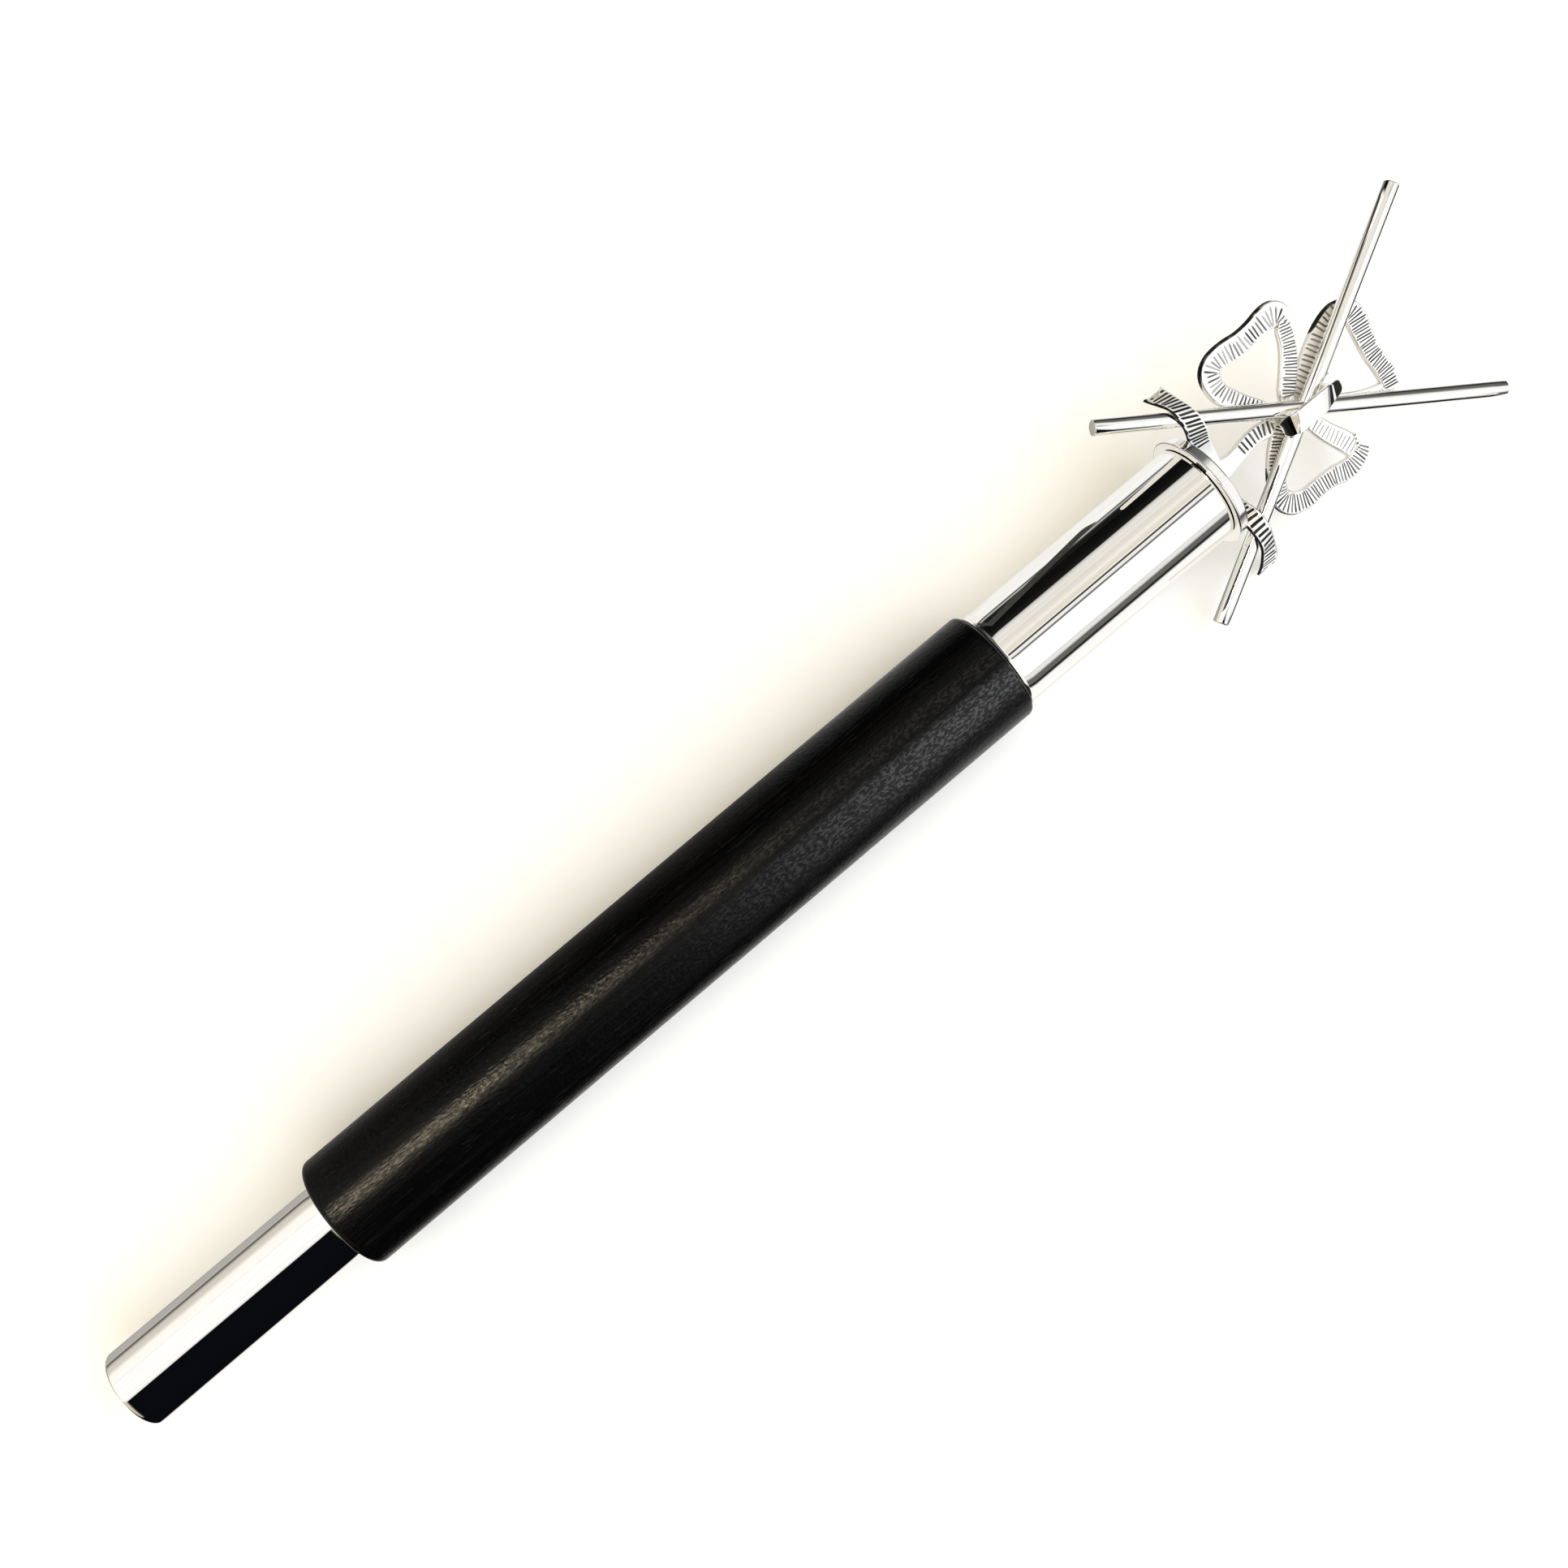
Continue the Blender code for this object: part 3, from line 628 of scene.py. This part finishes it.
ribbons = (
    (flat_guide("left_outer", LEFT_OUTER, RIBBON_FRONT),
     {"Stroke Spacing": 0.00118, "Stroke Width": 0.00074, "Last Stroke": 0.88, "Left Reach": 0.95,
      "Left Ragged": 0.05, "Right Reach": 0.90, "Right Ragged": 0.45, "Right Fade": 0.6,
      "Right Rim": 0.00052, "Rim From": 0.12, "Rim To": 0.56, "Seed": 3}),
    (flat_guide("left_upper", LEFT_UPPER, RIBBON_FRONT + FOLD_STEP),
     {"Stroke Spacing": 0.00084, "Stroke Width": 0.00058, "First Stroke": 0.12, "Left Reach": 0.86,
      "Left Ragged": 0.25, "Left Fade": 0.3, "Right Reach": 0.95, "Right Ragged": 0.05,
      "Weakest": 0.86, "Tarnish": 0.93, "Right Rim": 0.00024, "Rim From": 0.78, "Seed": 4}),
    (flat_guide("right_outer", RIGHT_OUTER, RIBBON_FRONT - 0.0001),
     {"Stroke Spacing": 0.00090, "Stroke Width": 0.00060, "Left Reach": 0.96, "Left Ragged": 0.12,
      "Left Fade": 0.2, "Right Reach": 0.94, "Right Ragged": 0.15, "Right Fade": 0.2,
      "Weakest": 0.8, "Tarnish": 0.98, "Left Rim": 0.00016, "Rim To": 0.75, "Seed": 5}),
    (flat_guide("right_upper", RIGHT_UPPER, RIBBON_FRONT - 0.0001 - FOLD_STEP),
     {"Stroke Spacing": 0.00118, "First Stroke": 0.22, "Left Reach": 0.92, "Left Ragged": 0.35,
      "Left Fade": 0.3, "Right Reach": 0.85, "Right Ragged": 0.1, "Weakest": 0.6,
      "Tarnish": 0.80, "Seed": 6}),
    (flat_guide("right_crease", CREASE, RIBBON_FRONT - 0.00005),
     {"Stroke Spacing": 0.0011, "Stroke Width": 0.0009, "Left Reach": 1.1, "Right Reach": 1.1,
      "Left Ragged": 0.7, "Right Ragged": 0.7, "Seed": 13}),
    (flat_guide("upper_left", UPPER_LEFT, RIBBON_FRONT - 0.0002 - FOLD_STEP),
     {"Stroke Spacing": 0.0014, "Stroke Width": 0.0007, "Left Reach": 0.94, "Left Ragged": 0.15,
      "Left Fade": 0.15, "Right Reach": 0.90, "Right Ragged": 0.3, "Right Fade": 0.3,
      "Stroke Depth": 0.00003, "Weakest": 0.75, "Tarnish": 0.86, "Left Rim": 0.00062,
      "Rim From": 0.62, "Frost": 0.9, "Seed": 7}),
    (flat_guide("upper_top", UPPER_TOP, RIBBON_FRONT - 0.0002),
     {"Stroke Spacing": 0.00082, "Stroke Width": 0.00060, "Left Reach": 0.98, "Left Ragged": 0.25,
      "Left Fade": 0.3, "Right Reach": 0.92, "Right Ragged": 0.12, "Right Fade": 0.2,
      "Weakest": 0.86, "Tarnish": 0.99, "Seed": 12}),
    (flat_guide("upper_right", UPPER_RIGHT, RIBBON_FRONT - 0.0002 - FOLD_STEP),
     {"Stroke Spacing": 0.00110, "Left Ragged": 0.5, "Right Ragged": 0.5, "Weakest": 0.2,
      "Tarnish": 0.5, "Seed": 8}),
    (flat_guide("stem", STEM, RIBBON_FRONT - 0.0003),
     {"Stroke Spacing": 0.00130, "First Stroke": 0.30, "Last Stroke": 0.54, "Stroke Width": 0.00085,
      "Left Reach": 0.92, "Right Reach": 0.92, "Left Ragged": 0.1, "Right Ragged": 0.25,
      "Right Fade": 0.4, "Weakest": 0.88, "Tarnish": 0.98, "Seed": 9}),
    (tail_guide("left_tail", LEFT_TAIL, 1),
     {"Stroke Spacing": 0.00125, "Stroke Width": 0.00102, "First Stroke": 0.30, "Lean": 0.12,
      "Thickness": TAIL_THICKNESS, "Left Reach": 0.96, "Right Reach": 0.90, "Left Ragged": 0.1,
      "Right Ragged": 0.2, "Weakest": 0.96, "Fork": 0.0030, "Right Rim": 0.00042, "Frost": 0.75,
      "Seed": 10}),
    (tail_guide("right_tail", RIGHT_TAIL, -1),
     {"Stroke Spacing": 0.00160, "Stroke Width": 0.00120, "First Stroke": 0.20, "Lean": 0.42,
      "Thickness": TAIL_THICKNESS, "Left Reach": 0.90, "Right Reach": 0.94, "Left Ragged": 0.2,
      "Right Ragged": 0.25, "Weakest": 0.96, "Fork": 0.0030, "Left Rim": 0.00014,
      "Right Rim": 0.00050, "Frost": 0.6, "Seed": 11}),
)

bow = bmesh.new()
for line, settings in ribbons:
    modifier = line.modifiers.new("engraving", "NODES")
    modifier.node_group = ribbon_tree
    values = {"Section": section, "Finish": bow_finish, "Thickness": RIBBON_THICKNESS, **settings}
    for label, value in values.items():
        modifier[ribbon_sockets[label]] = value
    bpy.context.view_layer.update()
    graph = bpy.context.evaluated_depsgraph_get()
    swept = bpy.data.meshes.new_from_object(line.evaluated_get(graph))
    bow.from_mesh(swept)
    bpy.data.objects.remove(line)
bpy.data.objects.remove(section)


# The knot: a flat strap over the crossing, bent down and rolled under at both ends, which are painted
# black as painted shade and dark reflection.
KNOT_THICKNESS = 1.3
KNOT_EDGE = 0.35
KNOT_CROWN = (
    (-8.9, 4.9, 0.40, 0.05, 1.0), (-9.0, 5.4, 1.20, 0.05, 1.0), (-9.0, 5.9, 1.70, 0.06, 1.0),
    (-8.8, 6.4, 2.10, 0.08, 1.0), (-8.3, 6.8, 2.38, 0.10, 1.0), (-7.7, 7.1, 2.55, 0.12, 1.0),
    (-7.05, 7.32, 2.62, 0.15, 1.0), (-6.95, 7.42, 2.66, 0.16, 0.0), (-6.3, 7.9, 2.78, 0.30, 0.05),
    (-5.8, 8.36, 2.85, 0.44, 0.05), (-5.7, 8.4, 2.85, 0.45, 0.0), (-2.0, 8.42, 2.85, 0.20, 0.0),
    (1.5, 8.42, 2.85, 0.30, 0.0), (3.9, 8.4, 2.75, 0.56, 0.0), (4.05, 8.35, 2.72, 0.56, 0.30),
    (4.9, 8.1, 2.50, 0.52, 0.33), (5.0, 8.05, 2.45, 0.50, 0.9), (6.1, 7.7, 2.15, 0.40, 1.0),
    (6.2, 7.7, 2.10, 0.40, 0.0), (6.9, 7.5, 1.95, 0.30, 0.0), (7.0, 7.45, 1.90, 0.30, 1.0),
    (8.2, 7.1, 1.80, 0.22, 1.0), (9.2, 6.6, 1.60, 0.15, 1.0), (9.9, 6.0, 1.30, 0.10, 1.0),
    (10.4, 5.4, 0.90, 0.05, 1.0), (10.6, 4.9, 0.40, 0.05, 1.0),
)


def knot_strap(bm):
    """Adds the strap to the bow as rings: (along, front, half width, slant, painted black)."""
    black = bm.verts.layers.float["stroke"]
    tone = bm.verts.layers.float["tone"]
    rings = []
    for along, front, half, slant, painted_black in KNOT_CROWN:
        under = front - min(KNOT_THICKNESS, 0.3 + half)
        ease = min(KNOT_EDGE, 0.4 * half, 0.45 * (front - under))
        corner = [(math.sin(math.radians(a)), math.cos(math.radians(a))) for a in (90, 60, 30, 0)]
        top = [(half - ease + ease * x, front - ease + ease * y) for x, y in corner]
        top += [(half * x, front) for x in (0.4, 0.0, -0.4)]
        top += [(-x, y) for x, y in top[3::-1]]
        ring = []
        for across, level in top + [(-half, under), (half, under)]:
            vert = bm.verts.new(emblem @ (Vector((along + slant * across, across, level)) * MM))
            # Painted shade and reflection: the rolled ends and some facets are coloured near black.
            vert[black] = painted_black * (level > under)
            vert[tone] = 0.99
            ring.append(vert)
        rings.append(ring)
    made = []
    for ring, following in zip(rings, rings[1:]):
        for i in range(len(ring)):
            j = (i + 1) % len(ring)
            made.append(bm.faces.new((ring[i], ring[j], following[j], following[i])))
    made.append(bm.faces.new(rings[0]))
    made.append(bm.faces.new(rings[-1]))
    return made


def knot_post(bm, along, thickness, width):
    """Adds a short post from the plate up into the strap."""
    corners = []
    for level in (RIBBON_FRONT / MM - 0.8, 6.6):
        ring = []
        for x, y in ((-1, -1), (1, -1), (1, 1), (-1, 1)):
            corner = Vector((along + x * thickness / 2, y * width / 2, level)) * MM
            ring.append(bm.verts.new(emblem @ corner))
        corners.append(ring)
    low, high = corners
    faces = [bm.faces.new((low[i], low[(i + 1) % 4], high[(i + 1) % 4], high[i])) for i in range(4)]
    return faces + [bm.faces.new(low), bm.faces.new(high)]


solid = knot_strap(bow) + knot_post(bow, -5.6, 1.0, 2.0) + knot_post(bow, 8.2, 1.2, 2.4)
bmesh.ops.recalc_face_normals(bow, faces=solid)
ribbon_bow = add_piece("ribbon_bow_engraved", bow, bow_finish, 24.0)
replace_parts(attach(ribbon_bow, "root"), "ribbon_bow")

# ---------------------------------------------------------------------------------------
# Studio.  A pale table, soft white light from the right, a cream wall on the left, and dark
# cards that give the silver its black lines.  The camera looks down on the lying baton.
# ---------------------------------------------------------------------------------------

HEADING = math.radians(40.31)
TABLE = 3.0


def paper(name, scale, detail, darker, lighter, tint="Base_Color", **uniform):
    """Paper or painted board: fibres between two colours, on its surface or in its glow."""
    material, shader, make = new_finish(name, **uniform)
    place = make.node("ShaderNodeTexCoord", outlet=3)
    fibres = make.node("ShaderNodeTexNoise", (), {"Vector": place, "Scale": scale, "Detail": detail})
    feed(shader, **{tint: fibres.mix(darker, lighter)})
    return material


def card(name, corners, finish):
    """A flat four-sided sheet, which isn't part of the baton."""
    mesh = bpy.data.meshes.new(name)
    mesh.from_pydata(corners, [], [(0, 1, 2, 3)])
    mesh.materials.append(finish)
    sheet = bpy.data.objects.new(name, mesh)
    bpy.context.scene.collection.objects.link(sheet)
    return sheet


table = card("table", [(-TABLE, -TABLE, 0.0), (TABLE, -TABLE, 0.0), (TABLE, TABLE, 0.0),
                       (-TABLE, TABLE, 0.0)],
             paper("table_paper", 40.0, 5.0, (0.90, 0.895, 0.885, 1.0), (0.93, 0.928, 0.92, 1.0),
                   Roughness=0.9, Specular_IOR_Level=0.2))
table.visible_glossy = False


CARDS_START = (0.1282, 0.2600)
CARDS_RUN = (-0.1079, -0.0422)


def beside(along, rise):
    """A point of the upright plane on the emblem's left, where its cards stand."""
    return (CARDS_START[0] + CARDS_RUN[0] * along, CARDS_START[1] + CARDS_RUN[1] * along, rise)


matt_black = paper("matt_black", 90.0, 3.0, (0.020, 0.020, 0.018, 1.0), (0.040, 0.038, 0.034, 1.0),
                   Roughness=0.8, Specular_IOR_Level=0.1)
olive_paper = paper("olive_paper", 60.0, 4.0, (0.19, 0.175, 0.14, 1.0), (0.25, 0.235, 0.19, 1.0),
                    Roughness=0.9, Specular_IOR_Level=0.1)
glowing_white = paper("glowing_white", 30.0, 3.0, (0.88, 0.87, 0.84, 1.0), (0.96, 0.95, 0.93, 1.0),
                  tint="Emission_Color", Roughness=0.9, Specular_IOR_Level=0.0,
                  Base_Color=(0.02, 0.02, 0.02, 1.0), Emission_Strength=1.0)
# A leaning black batten with olive paper over it, a black strip further down the staff, and a white sheet
# below the table top that glows as a painted reflection.
batten_card = card("black_batten", [beside(-0.60, -0.115), beside(0.90, 0.28), beside(0.90, 0.37),
                                    beside(-0.60, -0.045)], matt_black)
olive_card = card("olive_card", [beside(0.16, 0.164), beside(0.90, 0.37), beside(0.90, 0.50),
                                 beside(0.16, 0.262)], olive_paper)
strip_card = card("black_strip", [beside(1.00, 0.18), beside(1.85, 0.18), beside(3.10, 1.05),
                                  beside(2.00, 1.05)], matt_black)
white_card = card("white_card", [beside(-2.9, -0.80), beside(-1.3, -0.80), beside(0.10, -0.05),
                                 beside(-2.9, -0.30)], glowing_white)
for sheet in (batten_card, olive_card, strip_card, white_card):
    sheet.visible_camera = False
    sheet.visible_diffuse = False
    sheet.visible_shadow = False

room = bpy.data.worlds.new("studio_room")
room.use_nodes = True
room_light = room.node_tree.nodes["Background"]
make = Link(room.node_tree)
direction = make.node("ShaderNodeTexCoord", outlet=0)
split = [make.node("ShaderNodeSeparateXYZ", (), {"Vector": direction}, axis) for axis in (0, 1, 2)]
right = split[0] * math.cos(HEADING) - split[1] * math.sin(HEADING)
up = split[0] * math.sin(HEADING) + split[1] * math.cos(HEADING)
degrees = 180.0 / math.pi
bearing = up.math("ARCTAN2", right) * degrees
height = split[2].math("ARCSINE") * degrees
# Round the staff's axis: 0 overhead, 90 level on the right of it, -90 level on the left.
around = (split[1] * -1).math("ARCTAN2", split[2]) * degrees
to_left = bearing.math("ABSOLUTE").smooth(128.0, 142.0)


def walls(stops, angle_seen):
    """What stands round the staff, as (angle round its axis, light level, warmth) steps."""
    ramp = []
    for angle, level, warmth in stops:
        ramp.append((0.5 + angle / 360.0,
                     (level, level * (1 - 0.20 * warmth), level * (1 - 0.60 * warmth), 1.0)))
    return make.node("ShaderNodeValToRGB", {"stops": ramp}, {"Fac": angle_seen / 360.0 + 0.5})


# The room as the silver sees it: white walls and a cream ceiling crossed by dark battens, a
# black curtain on the left, a tall cool window on the right, and the dark table's edge.
HEAD_LEFT = (
    (-180, 0.80, 0.20), (-150, 0.90, 0.12), (-125, 1.02, 0.05), (-104, 0.95, 0.0), (-102, 0.09, 0.0),
    (-99, 0.09, 0.0), (-97, 0.55, 0.0), (-95.5, 0.50, 0.0), (-93.5, 0.035, 0.0), (-86, 0.006, 0.0),
    (-81, 0.014, 0.0), (-78, 0.004, 0.0), (-62, 0.005, 0.0), (-54, 0.010, 0.0), (-49, 0.012, 0.0),
    (-47.5, 0.66, 0.10), (-42, 0.80, 0.12), (-32, 0.86, 0.15), (-20, 0.80, 0.20), (-12, 0.95, 0.18),
    (-5, 0.80, 0.25), (3.0, 0.90, 0.25), (9.0, 0.95, 0.05), (12.0, 0.95, 0.0),
)
BUTT_LEFT = (
    (-180, 0.86, 0.20), (-171, 0.84, 0.20), (-166, 0.38, 0.15), (-140, 0.46, 0.12), (-124, 0.44, 0.15),
    (-117, 0.52, 0.15), (-113, 0.15, 0.35), (-108, 0.13, 0.35), (-104, 0.42, 0.25), (-98, 0.64, 0.25),
    (-84, 0.70, 0.25), (-78, 0.88, 0.22), (-72, 1.04, 0.12), (-50, 1.06, 0.10), (-36, 1.10, 0.0),
    (4.0, 1.06, 0.05), (9.0, 0.90, 0.0),
)
HEAD_RIGHT = (
    (10.0, 0.95, 0.0), (13.0, 0.90, 0.0), (18.3, 1.10, 0.0), (24, 1.2, -0.02), (27, 1.30, -0.05),
    (32.8, 1.30, -0.05), (33.4, 0.90, 0.0), (34.2, 0.90, 0.0), (35, 1.30, -0.05), (59, 1.30, -0.05),
    (65, 1.15, 0.0), (67.5, 0.70, 0.0), (71, 0.88, 0.0), (77, 0.76, 0.0), (79.5, 0.45, 0.0),
    (80.8, 0.13, 0.0), (92.5, 0.14, 0.0), (94.6, 0.02, 0.0), (100.5, 0.02, 0.0), (102.5, 0.55, 0.0),
    (105.8, 1.0, 0.0), (180, 1.1, 0.0),
)
# On the left, a batten by the head and the shade of the grip's own side.
left_seen = split[0].smooth(-0.27, -0.20).mix(walls(BUTT_LEFT, around), walls(HEAD_LEFT, around))
batten = around.between(3.2, 7.2, 0.6) * split[0].smooth(0.14, 0.19)
left_seen = batten.mix(left_seen, (0.05, 0.05, 0.05, 1.0))
shade = (around * -1).smooth(88.0, 104.0) * split[0].between(-0.23, 0.10, 0.04)
left_seen = shade.mix(left_seen, (0.22, 0.21, 0.19, 1.0))
# On the right, the table's edge stands higher the nearer it is to the head, over a dark floor.
# There is a window sill by the head, a cream wall past the butt, and white low down behind.
swing = ((0.20 - split[0]) * 170.0).math("MAXIMUM", 0.0).math("MINIMUM", 32.0) * around.smooth(40.0, 75.0)
pale_floor = around.smooth(112.0, 144.0) * split[0].smooth(-0.27, -0.21)
right_seen = pale_floor.mix((0.0030, 0.0034, 0.0050, 1.0), (0.24, 0.23, 0.21, 1.0))
towards_head = (split[0] + (1 - around.smooth(22.0, 34.0)) * 0.12).smooth(-0.08, 0.11)
right_seen = towards_head.mix(right_seen, walls(HEAD_RIGHT, around - swing))
sill = around.between(13.4, 17.8, 0.5) * split[0].smooth(0.14, 0.19)
right_seen = sill.mix(right_seen, (0.21, 0.21, 0.21, 1.0))
table_edge = around.between(99.0, 130.0, 3.0) * split[0].between(-0.12, 0.10, 0.03)
right_seen = table_edge.mix(right_seen, (0.018, 0.018, 0.018, 1.0))
beyond = (1 - split[0].smooth(-0.52, -0.46)) * height.smooth(8.0, 14.0)
right_seen = beyond.mix(right_seen, (0.70, 0.62, 0.50, 1.0))
behind = (1 - bearing.smooth(-130.0, -123.0)) * (1 - height.smooth(-3.0, 3.0))
behind = behind.math("MAXIMUM", 1 - height.smooth(-56.0, -48.0))
right_seen = behind.mix(right_seen, (0.96, 0.93, 0.88, 1.0))
room_seen = around.smooth(10.0, 12.0).mix(left_seen, right_seen)
# Past the head: white on the right, and a dark doorway under a light ceiling straight ahead.
doorway = make.node("ShaderNodeValToRGB", {"stops": [
    (0.5 + angle / 180.0, (level, level, 0.98 * level, 1.0)) for angle, level in (
        (-45, 0.95), (-30, 0.75), (-24, 0.45), (-17, 0.04), (3, 0.03), (10, 0.11), (27, 0.14),
        (36, 0.21), (41, 0.60), (46, 0.95), (55, 1.0))]}, {"Fac": height / 180.0 + 0.5})
past_head = (1 - height.smooth(-13.0, -5.0)).mix((1.0, 1.0, 1.0, 1.0), (0.03, 0.03, 0.03, 1.0))
past_head = bearing.smooth(24.0, 34.0).mix(past_head, doorway)
room_seen = split[0].smooth(0.44, 0.52).mix(room_seen, past_head)
# Faint streaks in the ceiling, and one small warm lamp.
streaks = make.node("ShaderNodeTexNoise", {"noise_dimensions": "1D"},
                    {"W": around, "Scale": 0.33, "Detail": 5.0, "Roughness": 0.75})
faded = room_seen.scaled(0.82 + streaks.smooth(0.3, 0.7) * 0.34)
room_seen = around.between(-50.0, 26.0, 2.0).mix(room_seen, faded)
LAMP_WAY = Vector((-0.25, 0.20, 0.95)).normalized()
LAMP_GLOW = (70.0, 60.0, 42.0, 1.0)
facing_lamp = make.node("ShaderNodeVectorMath", {"operation": "DOT_PRODUCT"},
                        {0: direction, 1: LAMP_WAY}, 1)
room_seen = facing_lamp.smooth(0.9962, 0.9985).mix(room_seen, LAMP_GLOW)

# What lights the table and the wood: soft white from the right, and a warm fill from the left.
fill = bearing.between(-57.0, 70.0, 8.0).mix((1.02, 0.85, 0.55, 1.0), (2.2, 2.4, 2.65, 1.0))
fill = height.smooth(62.0, 80.0).mix(fill, (1.5, 1.47, 1.38, 1.0))
fill = (to_left * (1 - height.smooth(8.0, 26.0))).mix(fill, (0.62, 0.52, 0.38, 1.0))

# Silver seen in silver is evened out, and the camera sees only a plain backdrop.
bounces = make.node("ShaderNodeLightPath", outlet="Ray Depth")
room_seen = (bounces.smooth(2.4, 2.6) * 0.88).mix(room_seen, (0.92, 0.90, 0.84, 1.0))
camera_ray = make.node("ShaderNodeLightPath")
glossy_ray = make.node("ShaderNodeLightPath", outlet="Is Glossy Ray")
backdrop = camera_ray.mix(glossy_ray.mix(fill, room_seen), (0.93, 0.93, 0.93, 1.0))
room.node_tree.links.new(backdrop.socket, room_light.inputs["Color"])
bpy.context.scene.world = room
bpy.context.scene.view_settings.view_transform = "Standard"

# The camera's place is in metres from the butt's end and the staff's axis.
CAMERA_STATION = 0.1924
CAMERA_ASIDE = 0.01122
CAMERA_RISE = 0.43866
CAMERA_TILT = -0.066
CAMERA_TURN = 0.004
CAMERA_LENS = 39.13
camera_data = bpy.data.cameras.new("camera")
camera_data.sensor_width = 36.0
camera_data.lens = CAMERA_LENS
camera_data.clip_start = 0.01
camera = bpy.data.objects.new("camera", camera_data)
camera.matrix_world = (Matrix.Translation((butt_low.x + CAMERA_STATION, axis_y + CAMERA_ASIDE,
                                           axis_z + CAMERA_RISE))
                       @ Matrix.Rotation(CAMERA_TILT, 4, "Y")
                       @ Matrix.Rotation(CAMERA_TURN - HEADING, 4, "Z"))
bpy.context.scene.collection.objects.link(camera)
bpy.context.scene.camera = camera
